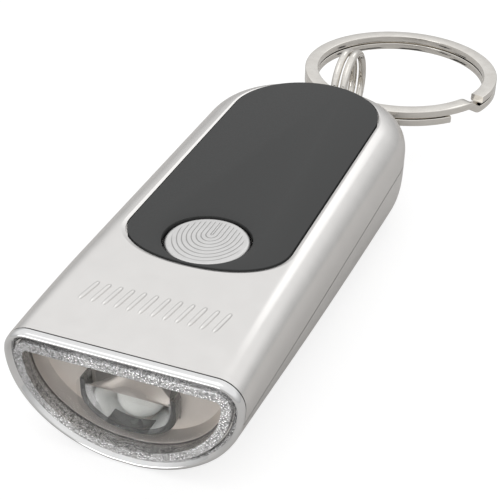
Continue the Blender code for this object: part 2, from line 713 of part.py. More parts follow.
def circuit_board():
    half = BOARD_WIDTH / 2
    board = block("circuit_board", (-half, BOARD_Y, BOARD_Z),
                  (half, BOARD_Y + BOARD_LENGTH, BOARD_TOP_Z))
    for name, x in BOARD_SCREWS.items():
        cut(board, rod(name + "_board_hole", BOARD_SCREW_DIAMETER / 2 + GAP, BOARD_Z - WALL,
                       BOARD_TOP_Z + WALL, x, BOARD_SCREW_Y, SMALL_SEGMENTS))
    return as_part(board, material("board_green", (0.02, 0.16, 0.06), 0.4))


def resistor():
    length, width, height = RESISTOR_SIZE
    low = BOARD_TOP_Z + GAP
    made = block("resistor", (RESISTOR_X - length / 2, BUTTON_Y - width / 2, low),
                 (RESISTOR_X + length / 2, BUTTON_Y + width / 2, low + height))
    return as_part(made, material("resistor_black", (0.04, 0.04, 0.04), 0.4))


# ---------------------------------------------------------------- cells, cradle and contacts

def coin_cell(name, low_z):
    radius = CELL_DIAMETER / 2
    profile = [
        (0.0, CELL_THICKNESS),
        (radius - GAP, CELL_THICKNESS),
        (radius, CELL_THICKNESS - GAP),
        (radius, CELL_STEP),
        (radius - CELL_STEP * 2, 0.0),
        (0.0, 0.0),
    ]
    made = turned(name, profile, (0.0, CELL_Y, low_z))
    return as_part(made, material(name + "_steel", STEEL, 0.3, 1.0))


def battery_cradle():
    """A strip under the cells that turns up into a curved wall ahead of and behind them."""
    cradle = rod("battery_cradle", CRADLE_RADIUS, CRADLE_Z, UPPER_CELL_TOP, y=CELL_Y)
    cut(cradle,
        rod("cell_pocket", CRADLE_RADIUS - CRADLE_WALL, CRADLE_Z + CRADLE_FLOOR, TOP_Z, y=CELL_Y))
    for side in (-1, 1):
        near = side * CRADLE_WIDTH / 2
        far = side * CRADLE_RADIUS * 2
        cut(cradle, block(f"cradle_side_{side}", (min(near, far), CELL_Y - CRADLE_RADIUS * 2, 0.0),
                          (max(near, far), CELL_Y + CRADLE_RADIUS * 2, TOP_Z)))
    return as_part(cradle, material("cradle_black", BLACK, 0.6))


def contact(name, x, strip_z, leg_low, leg_high):
    """A spring strip along the cells, with a leg at its front end to the circuit board."""
    half = CONTACT_WIDTH / 2
    leg_y = BOARD_Y + BOARD_LENGTH - CONTACT_THICKNESS * 3
    strip = block(name, (x - half, leg_y, strip_z),
                  (x + half, CELL_Y + CONTACT_REACH, strip_z + CONTACT_THICKNESS))
    join(strip, block(name + "_leg", (x - half, leg_y, leg_low),
                      (x + half, leg_y + CONTACT_THICKNESS, leg_high)))
    return as_part(strip, material(name + "_nickel", NICKEL, 0.3, 1.0))


# ---------------------------------------------------------------- screws

def screw(name, place, diameter, length, head_diameter, head_height, finish):
    """A pan-head screw pointing up, its head's underside at the place given, with a cross recess."""
    radius = diameter / 2
    head = head_diameter / 2
    profile = [
        (0.0, length),
        (radius / 2, length),
        (radius, length - radius),
        (radius, 0.0),
        (head, 0.0),
        (head, -head_height / 2),
        (head * HEAD_TOP_SHARE, -head_height),
        (0.0, -head_height),
    ]
    made = turned(name, profile, place, segments=SMALL_SEGMENTS)
    x, y, z = place
    low = z - head_height * 1.5
    high = z - head_height / 2
    arm = head * SLOT_REACH_SHARE
    slot = head * SLOT_HALF_WIDTH_SHARE
    cut(made,
        block(name + "_slot_x", (x - arm, y - slot, low), (x + arm, y + slot, high)),
        block(name + "_slot_y", (x - slot, y - arm, low), (x + slot, y + arm, high)))
    return as_part(made, finish)


# ---------------------------------------------------------------- bail and rings

def corner(centre_x, centre_y, start, turn, radius):
    """Points round a quarter bend in the level plane."""
    steps = 4
    points = []
    for step in range(steps + 1):
        angle = math.radians(start + turn * step / steps)
        points.append((centre_x + radius * math.cos(angle), centre_y + radius * math.sin(angle),
                       PARTING_Z))
    return points


def ring_bail():
    """A steel loop: its feet turn out behind the end wall, its crossbar stands clear of the case."""
    bend = BAIL_BEND
    right = [(BAIL_HALF_SPAN + BAIL_FOOT, BAIL_FOOT_Y, PARTING_Z)]
    right += corner(BAIL_HALF_SPAN + bend, BAIL_FOOT_Y + bend, 270.0, -90.0, bend)
    right += corner(BAIL_HALF_SPAN - bend, BAR_Y - bend, 0.0, 90.0, bend)
    left = [(-x, y, z) for x, y, z in reversed(right)]
    return as_part(wire("ring_bail", right + left, diameter=BAIL_WIRE),
                   material("bail_steel", STEEL, 0.25, 1.0))


def jogged(turns, share, pitch):
    """The sideways place of a split ring's wire: one side for a turn, then a short jog to the other."""
    jog = JOG_DEGREES / 360 / turns
    across = min(max((share - 0.5) / jog + 0.5, 0.0), 1.0)
    return pitch * (across * across * (3 - 2 * across) - 0.5)


def small_split_ring():
    """Two turns of round wire side by side, standing upright on the bail."""
    middle = SMALL_RING_RADIUS - SMALL_RING_WIRE / 2
    count = int(SMALL_RING_POINTS * SMALL_RING_TURNS)
    route = []
    for step in range(count + 1):
        share = step / count
        angle = math.radians(SMALL_RING_END) + 2 * math.pi * SMALL_RING_TURNS * share
        route.append((jogged(SMALL_RING_TURNS, share, SMALL_RING_PITCH),
                      SMALL_RING_Y + middle * math.cos(angle),
                      SMALL_RING_Z + middle * math.sin(angle)))
    made = wire("small_split_ring", route, diameter=SMALL_RING_WIRE)
    return as_part(made, material("small_ring_nickel", NICKEL, 0.15, 1.0))


def key_ring():
    """Two turns of flat wire on top of each other, lying level through the small ring."""
    half_width = KEY_RING_WIDTH / 2
    half_turn = KEY_RING_TURN / 2
    corner_cut = KEY_RING_TURN / 6
    outline = []
    for side, level in ((1, 1), (-1, 1), (-1, -1), (1, -1)):
        first = (side * half_width, level * (half_turn - corner_cut))
        second = (side * (half_width - corner_cut), level * half_turn)
        outline += [first, second] if side * level > 0 else [second, first]
    curve = bpy.data.curves.new("flat_wire_section", "CURVE")
    curve.dimensions = "2D"
    spline = curve.splines.new("POLY")
    spline.points.add(len(outline) - 1)
    for point, (x, y) in zip(spline.points, outline):
        point.co = (x, y, 0.0, 1.0)
    spline.use_cyclic_u = True
    section = add("flat_wire_section", curve)

    middle = KEY_RING_RADIUS - half_width
    count = int(KEY_RING_POINTS * KEY_RING_TURNS)
    route = []
    for step in range(count + 1):
        share = step / count
        angle = math.radians(JOG_CENTRE) + 2 * math.pi * KEY_RING_TURNS * (share - 0.5)
        route.append((KEY_RING_X + middle * math.cos(angle),
                      KEY_RING_Y + middle * math.sin(angle),
                      KEY_RING_Z - jogged(KEY_RING_TURNS, share, KEY_RING_PITCH)))
    made = wire("key_ring", route, section=section)
    return as_part(made, material("key_ring_nickel", NICKEL, 0.15, 1.0))


# ---------------------------------------------------------------- the assembly

upper_shell()
lower_shell()
top_panel()
front_bezel()
lens()
lens_gasket()
reflector()
button()
switch_dome()
switch_base()
led()
led_lead("led_lead_left", -1)
led_lead("led_lead_right", 1)
circuit_board()
resistor()
coin_cell("coin_cell_lower", LOWER_CELL_Z)
coin_cell("coin_cell_upper", UPPER_CELL_Z)
battery_cradle()
contact("positive_contact", CONTACT_X, UPPER_CELL_TOP + GAP, BOARD_TOP_Z + GAP,
        UPPER_CELL_TOP + GAP + CONTACT_THICKNESS)
contact("negative_contact", -CONTACT_X, LOWER_CELL_Z - GAP - CONTACT_THICKNESS,
        LOWER_CELL_Z - GAP - CONTACT_THICKNESS, BOARD_Z - GAP)
for screw_name, screw_y in CASE_SCREWS.items():
    screw(screw_name, (0.0, screw_y, HEAD_SEAT_Z - GAP), SCREW_DIAMETER, CASE_SCREW_LENGTH,
          HEAD_DIAMETER, HEAD_HEIGHT, screw_finish)
for screw_name, screw_x in BOARD_SCREWS.items():
    screw(screw_name, (screw_x, BOARD_SCREW_Y, BOARD_Z - GAP), BOARD_SCREW_DIAMETER,
          BOARD_SCREW_LENGTH, BOARD_HEAD_DIAMETER, BOARD_HEAD_HEIGHT, board_screw_finish)
ring_bail()
small_split_ring()
key_ring()
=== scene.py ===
"""Keychain flashlight: its finished surfaces and a small studio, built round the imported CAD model.

The frame is the CAD's: the origin is the middle of the flat on the belly, +Z is up through the
button, -Y is the lens end and +Y the key ring end. Lengths are in metres.
"""

import math

import bmesh
import bpy
from mathutils import Matrix, Vector


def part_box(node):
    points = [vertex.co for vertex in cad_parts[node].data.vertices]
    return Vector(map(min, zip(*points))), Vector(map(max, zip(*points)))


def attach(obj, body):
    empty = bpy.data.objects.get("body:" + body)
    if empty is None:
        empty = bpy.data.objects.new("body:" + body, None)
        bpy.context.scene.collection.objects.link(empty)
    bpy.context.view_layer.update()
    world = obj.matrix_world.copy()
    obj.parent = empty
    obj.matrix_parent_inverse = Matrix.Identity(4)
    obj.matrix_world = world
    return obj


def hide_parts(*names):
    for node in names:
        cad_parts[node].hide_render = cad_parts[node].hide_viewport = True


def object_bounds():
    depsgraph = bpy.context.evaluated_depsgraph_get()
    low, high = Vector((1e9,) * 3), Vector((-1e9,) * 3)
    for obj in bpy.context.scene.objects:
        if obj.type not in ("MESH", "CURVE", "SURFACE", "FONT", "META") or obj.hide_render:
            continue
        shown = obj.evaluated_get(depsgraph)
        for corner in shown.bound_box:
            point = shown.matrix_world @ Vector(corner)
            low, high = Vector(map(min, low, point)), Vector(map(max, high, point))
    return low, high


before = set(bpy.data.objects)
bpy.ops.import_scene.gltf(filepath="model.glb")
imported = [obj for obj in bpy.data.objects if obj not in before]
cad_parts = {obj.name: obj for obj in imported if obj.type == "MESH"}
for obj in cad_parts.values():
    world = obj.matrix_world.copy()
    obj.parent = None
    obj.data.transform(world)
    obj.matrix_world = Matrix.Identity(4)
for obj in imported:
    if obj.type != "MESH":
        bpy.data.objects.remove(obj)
cad_low, cad_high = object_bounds()
MM = 0.001


# ---------------------------------------------------------------- studio
# A pale table under an even white sky, with one large soft box behind and to the right and dark
# cards beside the lens. The camera stands above and to the right of the lens end.

CAMERA_PLACE = (42.286 * MM, -108.873 * MM, 82.611 * MM)
CAMERA_TURN = 0.364286        # radians round the vertical, then down, then over
CAMERA_TILT = 0.581354
CAMERA_ROLL = 0.016215
CAMERA_LENS = 86.4

camera_data = bpy.data.cameras.new("camera")
camera_data.lens = CAMERA_LENS
camera_data.sensor_width = 36.0
camera_data.clip_start = 5 * MM
camera = bpy.data.objects.new("camera", camera_data)
camera.matrix_world = (Matrix.Translation(CAMERA_PLACE)
                       @ Matrix.Rotation(CAMERA_TURN, 4, "Z")
                       @ Matrix.Rotation(math.pi / 2 - CAMERA_TILT, 4, "X")
                       @ Matrix.Rotation(CAMERA_ROLL, 4, "Z"))
bpy.context.scene.collection.objects.link(camera)
bpy.context.scene.camera = camera
bpy.context.scene.view_settings.view_transform = "Standard"


def add_node(tree, kind, inputs=None, **settings):
    """A node with its settings and inputs; an input is a value or another node's output."""
    made = tree.nodes.new(kind)
    for name, value in settings.items():
        setattr(made, name, value)
    for name, value in (inputs or {}).items():
        if isinstance(value, bpy.types.NodeSocket):
            tree.links.new(value, made.inputs[name])
        else:
            made.inputs[name].default_value = value
    return made


def set_stops(ramp, *stops):
    """Sets a colour ramp's stops to (position, grey or colour) pairs."""
    elements = ramp.color_ramp.elements
    while len(elements) < len(stops):
        elements.new(0.5)
    for element, (position, color) in zip(elements, stops):
        element.position = position
        grey = isinstance(color, float)
        element.color = (color, color, color, 1.0) if grey else (*color, 1.0)


world = bpy.data.worlds.new("studio_sky")
world.use_nodes = True
bpy.context.scene.world = world
sky = world.node_tree
sky_height = add_node(sky, "ShaderNodeSeparateXYZ",
                      {"Vector": add_node(sky, "ShaderNodeTexCoord").outputs["Generated"]})
sky_ramp = add_node(sky, "ShaderNodeValToRGB", {"Fac": sky_height.outputs["Z"]})
set_stops(sky_ramp, (0.0, 0.46), (0.25, 0.62), (0.50, 0.90), (0.75, 0.90), (1.0, 1.0))
sky_background = sky.nodes["Background"]
sky.links.new(sky_ramp.outputs["Color"], sky_background.inputs["Color"])
white_background = add_node(sky, "ShaderNodeBackground", {"Color": (1.0, 1.0, 1.0, 1.0)})
sky_mix = add_node(sky, "ShaderNodeMixShader", {
    "Fac": add_node(sky, "ShaderNodeLightPath").outputs["Is Camera Ray"],
    1: sky_background.outputs[0], 2: white_background.outputs[0]})
sky.links.new(sky_mix.outputs[0], sky.nodes["World Output"].inputs["Surface"])


def soft_box(name, place, target, width, height, radiance):
    """A rectangular light that faces the target."""
    data = bpy.data.lights.new(name, "AREA")
    data.shape = "RECTANGLE"
    data.size = width
    data.size_y = height
    data.energy = radiance * math.pi * width * height
    light = bpy.data.objects.new(name, data)
    direction = Vector(target) - Vector(place)
    light.matrix_world = (Matrix.Translation(place)
                          @ direction.to_track_quat("-Z", "Y").to_matrix().to_4x4())
    bpy.context.scene.collection.objects.link(light)
    return light


soft_box("back_box", (0.03, 0.39, 0.315), (0.0, 0.0, 0.0), 0.15, 0.16, 0.50)
soft_box("top_box", (-0.10, -0.10, 0.60), (0.0, 0.0, 0.0), 0.40, 0.40, 0.30)
soft_box("front_box", (-0.20, -0.45, 0.10), (0.0, 0.0, 0.0), 0.34, 0.16, 2.2)


def flat_card(name, corners):
    mesh = bpy.data.meshes.new(name)
    mesh.from_pydata(corners, [], [tuple(range(len(corners)))])
    card = bpy.data.objects.new(name, mesh)
    bpy.context.scene.collection.objects.link(card)
    return card


FLOOR_REACH = 2.0
FLOOR_GAP = 0.02 * MM
CARD_LIFT = 0.01 * MM

floor_z = cad_low.z - FLOOR_GAP
floor = flat_card("table", [(-FLOOR_REACH, -FLOOR_REACH, floor_z), (FLOOR_REACH, -FLOOR_REACH, floor_z),
                            (FLOOR_REACH, FLOOR_REACH, floor_z), (-FLOOR_REACH, FLOOR_REACH, floor_z)])
table_paint = bpy.data.materials.new("pale_table")
table_paint.use_nodes = True
table_tree = table_paint.node_tree
table_tree.nodes.remove(table_tree.nodes["Principled BSDF"])
glow = add_node(table_tree, "ShaderNodeEmission", {"Color": (1.0, 1.0, 1.0, 1.0), "Strength": 0.74})
paint = add_node(table_tree, "ShaderNodeBsdfDiffuse", {"Color": (0.36, 0.36, 0.36, 1.0)})
seen = add_node(table_tree, "ShaderNodeAddShader", {0: glow.outputs[0], 1: paint.outputs[0]})
mirrored = add_node(table_tree, "ShaderNodeBsdfDiffuse", {"Color": (0.58, 0.57, 0.56, 1.0)})
table_mix = add_node(table_tree, "ShaderNodeMixShader", {
    "Fac": add_node(table_tree, "ShaderNodeLightPath").outputs["Is Camera Ray"],
    1: mirrored.outputs[0], 2: seen.outputs[0]})
table_tree.links.new(table_mix.outputs[0], table_tree.nodes["Material Output"].inputs["Surface"])
floor.data.materials.append(table_paint)


DARK_CARDS = (                # corner and size of each dark card laid inside the key ring, in millimetres
    (2.0, 50.0, 3.0, 5.0), (-2.5, 56.0, 3.0, 4.0), (7.5, 60.0, 4.0, 3.0), (-6.5, 47.0, 3.0, 5.0),
    (6.8, 52.0, 2.0, 5.0))
card_paint = bpy.data.materials.new("dark_card")
card_paint.use_nodes = True
card_shader = card_paint.node_tree.nodes["Principled BSDF"]
card_shader.inputs["Base Color"].default_value = (0.02, 0.02, 0.02, 1.0)
card_shader.inputs["Roughness"].default_value = 0.9
near_z = floor_z + CARD_LIFT
for number, (card_x, card_y, card_wide, card_deep) in enumerate(DARK_CARDS):
    card = flat_card(f"dark_card_{number}", [
        (card_x * MM, card_y * MM, near_z), ((card_x + card_wide) * MM, card_y * MM, near_z),
        ((card_x + card_wide) * MM, (card_y + card_deep) * MM, near_z),
        (card_x * MM, (card_y + card_deep) * MM, near_z)])
    card.data.materials.append(card_paint)
    card.visible_camera = False
    card.visible_diffuse = False
    card.visible_shadow = False


# ---------------------------------------------------------------- case shells
# The two halves of the case are injection-moulded plastic with a satin silver plating. They meet
# on a line low on the sides, and two screws from below pull them together. The top one has a
# shallow seat for the dark inlay, with a narrow sloping rim round it.

SEAM = 0.12 * MM              # between the two halves
INLAY_GAP = 0.2 * MM
RIM_WIDTH = 0.42 * MM
RIM_DEPTH = 0.12 * MM
WALL = 1.2 * MM
HOLE_RADIUS = 4.9 * MM        # for the button
SIDE_SWELL = 0.6 * MM
FRONT_EDGE_RADIUS = 2.8 * MM
BACK_EDGE_RADIUS = 4.0 * MM
LEAST_EDGE = 0.2 * MM         # corner radius of the forms set in furthest
END_LENGTH = 12.5 * MM
NOSE_DROP = 0.6 * MM
BELLY_CROP = 0.05 * MM
FRONT_FULLNESS = 2.0
BACK_FULLNESS = 4.2
END_FULLNESS = 2.25
INLAY_FRONT_DEPTH = 6.0 * MM
INLAY_FRONT_FULLNESS = 2.2
SILVER = (0.83, 0.815, 0.80)
FLAT_SHARES = (0.0, 0.35, 0.7, 0.9, 0.985)
EDGE_STEPS = 16
BELLY_STEPS = 34
SIDE_STEPS = 26
END_STEPS = 72
BAIL_HALF_SPAN = 2.9 * MM
BAIL_WIRE = 1.1 * MM
LEG_CLEARANCE = 0.3 * MM
SCREW_HEAD_HOLE = 1.8 * MM
SCREW_HEAD_DEPTH = 1.3 * MM   # from the head's low face to its seat
SCREW_SHAFT_HOLE = 1.15 * MM
BOSS_WALL = 0.6 * MM
BOSS_LOW_Z = WALL * 0.6
CUTTER_REACH = 0.1            # well past every side of the light
WELD = 1e-7                   # points nearer than this are one

shell_low, shell_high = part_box("upper_shell")
bezel_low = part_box("front_bezel")[0]
inlay_low, inlay_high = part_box("top_panel")
cap_low, cap_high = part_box("button")
bail_low, bail_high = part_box("ring_bail")
front_y = bezel_low.y
shell_front_y = shell_low.y
back_y = shell_high.y
arc_y = back_y - END_LENGTH
top_z = inlay_high.z
inlay_seat_z = inlay_low.z - INLAY_GAP
parting_z = (bail_low.z + bail_high.z) / 2
back_half_width = shell_high.x
front_half_width = back_half_width - SIDE_SWELL
button_y = (cap_low.y + cap_high.y) / 2


def between(front, back, share):
    return front + (back - front) * share


def crown_z(y):
    """The height of the middle of the top, which bends down ahead of the inlay."""
    bend = max((inlay_low.y - y) / (inlay_low.y - front_y), 0.0)
    return top_z - NOSE_DROP * bend ** 2


def half_section(inset, y, floor=0.0):
    """(x, z) points of the D section's right half, from the middle of the top to the belly."""
    share = min(max((y - front_y) / (arc_y - front_y), 0.0), 1.0)
    fullness = between(FRONT_FULLNESS, BACK_FULLNESS, share)
    radius = between(FRONT_EDGE_RADIUS, BACK_EDGE_RADIUS, share)
    width = between(front_half_width, back_half_width, share) - inset
    top = crown_z(y) - inset
    edge = max(radius - inset, LEAST_EDGE)
    widest = min(crown_z(y) - radius, top - edge)
    depth = widest + BELLY_CROP - inset
    points = [((width - edge) * flat, top) for flat in FLAT_SHARES]
    for step in range(EDGE_STEPS + 1):
        angle = math.pi / 2 * (1 - step / EDGE_STEPS)
        points.append((width - edge + edge * math.cos(angle), widest + edge * math.sin(angle)))
    last = math.asin(min((widest - floor) / depth, 1.0) ** (fullness / 2))
    for step in range(1, BELLY_STEPS + 1):
        angle = last * step / BELLY_STEPS
        points.append((width * math.cos(angle) ** (2 / fullness),
                       widest - depth * math.sin(angle) ** (2 / fullness)))
    points.append((0.0, floor))
    return points


def round_end(steps, fullness):
    """Half a superellipse from (1, 0) through (0, 1) to (-1, 0)."""
    for step in range(steps + 1):
        angle = math.pi * step / steps
        across = math.copysign(abs(math.cos(angle)) ** (2 / fullness), math.cos(angle))
        yield across, math.sin(angle) ** (2 / fullness)


def scrap(name, fill):
    """A hidden mesh object to cut with or to cut from, filled in by fill(bm)."""
    bm = bmesh.new()
    fill(bm)
    bmesh.ops.remove_doubles(bm, verts=bm.verts, dist=WELD)
    bmesh.ops.recalc_face_normals(bm, faces=bm.faces)
    mesh = bpy.data.meshes.new(name)
    bm.to_mesh(mesh)
    bm.free()
    made = bpy.data.objects.new(name, mesh)
    made.hide_render = True
    bpy.context.scene.collection.objects.link(made)
    return made


def case_form(name, inset, floor, start_y):
    """The case's outer form or one set in from it, led down both sides and round the end."""
    end_share = (END_LENGTH - inset) / (back_half_width - inset)
    stations = [start_y + (arc_y - start_y) * step / SIDE_STEPS for step in range(SIDE_STEPS)]
    stops = [(y, 1.0, 0.0) for y in stations]
    stops += [(arc_y, across, end_share * along) for across, along in round_end(END_STEPS, END_FULLNESS)]
    stops += [(y, -1.0, 0.0) for y in reversed(stations)]

    def fill(bm):
        rows = []
        for y, across, along in stops:
            rows.append([bm.verts.new((x * across, y + x * along, z))
                         for x, z in half_section(inset, y, floor)])
        for row, following in zip(rows, rows[1:]):
            for index in range(len(row) - 1):
                bm.faces.new((row[index], row[index + 1], following[index + 1], following[index]))
        bmesh.ops.remove_doubles(bm, verts=bm.verts, dist=WELD)
        bmesh.ops.contextual_create(bm, geom=[edge for edge in bm.edges if edge.is_boundary])
        bmesh.ops.triangulate(bm, faces=bm.faces)
    return scrap(name, fill)


def circle(radius, steps):
    """(across, along) points round a circle."""
    for step in range(steps):
        angle = 2 * math.pi * step / steps
        yield radius * math.cos(angle), radius * math.sin(angle)


def join_loops(bm, rows):
    """Faces from each closed loop of vertices to the next; their counts are equal."""
    count = len(rows[0])
    for row, following in zip(rows, rows[1:]):
        for index in range(count):
            after = (index + 1) % count
            bm.faces.new((row[index], row[after], following[after], following[index]))


def stack(name, loops):
    """A closed solid through loops of points that have equal counts, capped at both ends."""
    def fill(bm):
        rows = [[bm.verts.new(point) for point in loop] for loop in loops]
        join_loops(bm, rows)
        bm.faces.new(rows[0])
        bm.faces.new(rows[-1])
    return scrap(name, fill)


def cylinder(name, radius, low, high, steps=96):
    """A round solid between two points."""
    axis = Vector(high) - Vector(low)
    turn = axis.to_track_quat("Z", "Y").to_matrix()
    return stack(name, [[Vector(place) + turn @ Vector((u, v, 0.0)) for u, v in circle(radius, steps)]
                        for place in (low, high)])


def box(name, low, high):
    corners = [(low[0], low[1]), (high[0], low[1]), (high[0], high[1]), (low[0], high[1])]
    return stack(name, [[(x, y, z) for x, y in corners] for z in (low[2], high[2])])


def round_edges(target, width, harden=False):
    bevel = target.modifiers.new("edge", "BEVEL")
    bevel.width = width
    bevel.segments = 3
    bevel.limit_method = "ANGLE"
    bevel.harden_normals = harden


def combine(target, tools, operation="DIFFERENCE"):
    """Cuts the tools out of the target, or joins them to it."""
    for tool in tools:
        step = target.modifiers.new(tool.name, "BOOLEAN")
        step.operation = operation
        step.object = tool
        step.solver = "EXACT"


def finished(name, source, paint, body, nodes=(), sharp=30.0, scraps=()):
    """The source's evaluated mesh as a shown piece that rides on a body and stands for CAD nodes."""
    graph = bpy.context.evaluated_depsgraph_get()
    mesh = bpy.data.meshes.new_from_object(source.evaluated_get(graph))
    mesh.name = name
    mesh.materials.clear()
    mesh.materials.append(paint)
    mesh.shade_smooth()
    mesh.set_sharp_from_angle(angle=math.radians(sharp))
    for used in (source, *scraps):
        bpy.data.objects.remove(used)
    made = bpy.data.objects.new(name, mesh)
    bpy.context.scene.collection.objects.link(made)
    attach(made, body)
    if nodes:
        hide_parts(*nodes)
    return made


def finish(name, color, roughness, metallic=0.0):
    """A material, its node tree and its main shader."""
    made = bpy.data.materials.new(name)
    made.use_nodes = True
    shader = made.node_tree.nodes["Principled BSDF"]
    shader.inputs["Base Color"].default_value = (*color, 1.0)
    shader.inputs["Roughness"].default_value = roughness
    shader.inputs["Metallic"].default_value = metallic
    return made, made.node_tree, shader


def mottled(tree, shader, scale, colors, roughness, bump_height, stretch=(1.0, 1.0, 1.0)):
    """Varies a finish: two colours, two roughnesses and a fine relief from one noise pattern."""
    place = add_node(tree, "ShaderNodeMapping", {
        "Vector": add_node(tree, "ShaderNodeTexCoord").outputs["Object"], "Scale": stretch})
    noise = add_node(tree, "ShaderNodeTexNoise", {
        "Vector": place.outputs[0], "Scale": scale, "Detail": 5.0, "Roughness": 0.6})
    tint = add_node(tree, "ShaderNodeValToRGB", {"Fac": noise.outputs["Fac"]})
    set_stops(tint, (0.3, colors[0]), (0.7, colors[1]))
    tree.links.new(tint.outputs["Color"], shader.inputs["Base Color"])
    gloss = add_node(tree, "ShaderNodeMapRange", {
        "Value": noise.outputs["Fac"], "From Min": 0.3, "From Max": 0.7,
        "To Min": roughness[0], "To Max": roughness[1]})
    tree.links.new(gloss.outputs[0], shader.inputs["Roughness"])
    bump = add_node(tree, "ShaderNodeBump", {
        "Height": noise.outputs["Fac"], "Strength": 1.0, "Distance": bump_height})
    tree.links.new(bump.outputs[0], shader.inputs["Normal"])


def inlay_outline(inset, steps=64):
    """The inlay's outline as (x, y): straight sides, a round back and a blunter front."""
    half = inlay_high.x - inset
    back_centre = inlay_high.y - inlay_high.x
    front_centre = inlay_low.y + INLAY_FRONT_DEPTH
    depth = INLAY_FRONT_DEPTH - inset
    points = [(half * across, back_centre + half * along) for across, along in round_end(steps, 2.0)]
    points += [(-half * across, front_centre - depth * along)
               for across, along in round_end(steps, INLAY_FRONT_FULLNESS)]
    return points


def inlay_loop(inset, z):
    return [(x, y, z) for x, y in inlay_outline(inset)]


def plated_silver(name):
    """Satin plating over moulded plastic: almost even, with a faint cloudiness and orange peel."""
    made, tree, shader = finish(name, SILVER, 0.24, 1.0)
    mottled(tree, shader, 380.0, ((0.815, 0.80, 0.785), (0.85, 0.835, 0.82)), (0.20, 0.26), 0.002 * MM)
    return made


silver = plated_silver("satin_silver_plating")


def bail_leg_cutters(name):
    """Round cutters that let the bail's two legs through the end wall."""
    return [cylinder(f"{name}_{side}", BAIL_WIRE / 2 + LEG_CLEARANCE,
                     (side * BAIL_HALF_SPAN, back_y - WALL * 4, parting_z),
                     (side * BAIL_HALF_SPAN, back_y + WALL, parting_z), 40) for side in (-1, 1)]


top_half = case_form("top_half", 0.0, 0.0, shell_front_y)
top_cavity = case_form("top_cavity", WALL, WALL, shell_front_y - WALL)
below = box("below_parting", (-CUTTER_REACH, -CUTTER_REACH, -CUTTER_REACH),
            (CUTTER_REACH, CUTTER_REACH, parting_z + SEAM / 2))
seat = stack("inlay_seat", [inlay_loop(-INLAY_GAP, inlay_seat_z), inlay_loop(-INLAY_GAP, top_z + WALL)])
rim = stack("inlay_rim", [inlay_loop(-INLAY_GAP, top_z - RIM_DEPTH),
                          inlay_loop(-INLAY_GAP - RIM_WIDTH, top_z),
                          inlay_loop(-INLAY_GAP - RIM_WIDTH * 2, top_z + RIM_DEPTH)])
hole = cylinder("button_hole", HOLE_RADIUS, (0.0, button_y, inlay_seat_z - WALL * 2), (0.0, button_y, top_z))
leg_cutters = bail_leg_cutters("leg_hole")
top_tools = [top_cavity, below, seat, rim, hole, *leg_cutters]
combine(top_half, top_tools)
finished("upper_shell_plated", top_half, silver, "case", ["upper_shell"], 13.0, top_tools)

bottom_half = case_form("bottom_half", 0.0, 0.0, shell_front_y)
bottom_cavity = case_form("bottom_cavity", WALL, WALL, shell_front_y - WALL)
above = box("above_parting", (-CUTTER_REACH, -CUTTER_REACH, parting_z - SEAM / 2),
            (CUTTER_REACH, CUTTER_REACH, CUTTER_REACH))
leg_cutters = bail_leg_cutters("leg_notch")
boss_tools = []
hole_tools = []
for screw in ("case_screw_front", "case_screw_rear"):
    screw_low, screw_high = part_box(screw)
    screw_y = (screw_low.y + screw_high.y) / 2
    boss_tools.append(cylinder(screw + "_boss", SCREW_HEAD_HOLE + BOSS_WALL, (0.0, screw_y, BOSS_LOW_Z),
                               (0.0, screw_y, parting_z - WALL * 2), 48))
    hole_tools.append(cylinder(screw + "_hole", SCREW_HEAD_HOLE, (0.0, screw_y, -WALL),
                               (0.0, screw_y, screw_low.z + SCREW_HEAD_DEPTH), 48))
    hole_tools.append(cylinder(screw + "_shaft", SCREW_SHAFT_HOLE, (0.0, screw_y, -WALL),
                               (0.0, screw_y, parting_z), 32))
combine(bottom_half, [bottom_cavity, above])
combine(bottom_half, boss_tools, "UNION")
combine(bottom_half, hole_tools + leg_cutters)
finished("lower_shell_plated", bottom_half, silver, "case", ["lower_shell"], 25.0,
         [bottom_cavity, above, *boss_tools, *hole_tools, *leg_cutters])


# ---------------------------------------------------------------- raised ribs on the nose
# A short row of low ribs moulded into the top shell ahead of the inlay and plated with it. They
# are a plain finger rest and carry no lettering.

RIB_COUNT = 12
RIB_SPACING = 1.3 * MM
RIB_WIDTH = 0.55 * MM
RIB_LENGTH = 3.4 * MM
RIB_HEIGHT = 0.20 * MM
RIB_LEAN = 0.18               # how far each rib leans sideways for its length
RIB_AHEAD = 7.9 * MM          # of the inlay
RIB_SINK = 0.2                # share of its height that a rib reaches below the surface
RIB_END_FULLNESS = 6
RIB_END_WIDTH = 0.02          # share of its width that is left at a rib's tip
RIB_LENGTH_STEPS = 14
RIB_WIDTH_STEPS = 8

rib_middle_y = inlay_low.y - RIB_AHEAD


def rib_mesh(bm):
    """One low rounded rib that follows the bend of the nose."""
    rows = []
    for along in range(RIB_LENGTH_STEPS + 1):
        share = along / RIB_LENGTH_STEPS * 2 - 1
        end = math.sqrt(max(1 - share ** RIB_END_FULLNESS, 0.0))
        y = rib_middle_y + share * RIB_LENGTH / 2
        row = []
        for across in range(RIB_WIDTH_STEPS + 1):
            angle = math.pi * across / RIB_WIDTH_STEPS
            x = ((RIB_WIDTH / 2) * math.cos(angle) * max(end, RIB_END_WIDTH)
                 + RIB_LEAN * share * RIB_LENGTH / 2)
            z = crown_z(y) + RIB_HEIGHT * (math.sin(angle) * end * (1 + RIB_SINK) - RIB_SINK)
            row.append(bm.verts.new((x, y, z)))
        rows.append(row)
    for row, following in zip(rows, rows[1:]):
        for index in range(RIB_WIDTH_STEPS):
            bm.faces.new((row[index], following[index], following[index + 1], row[index + 1]))
        bm.faces.new((row[0], row[-1], following[-1], following[0]))
    bm.faces.new(rows[0])
    bm.faces.new(rows[-1])


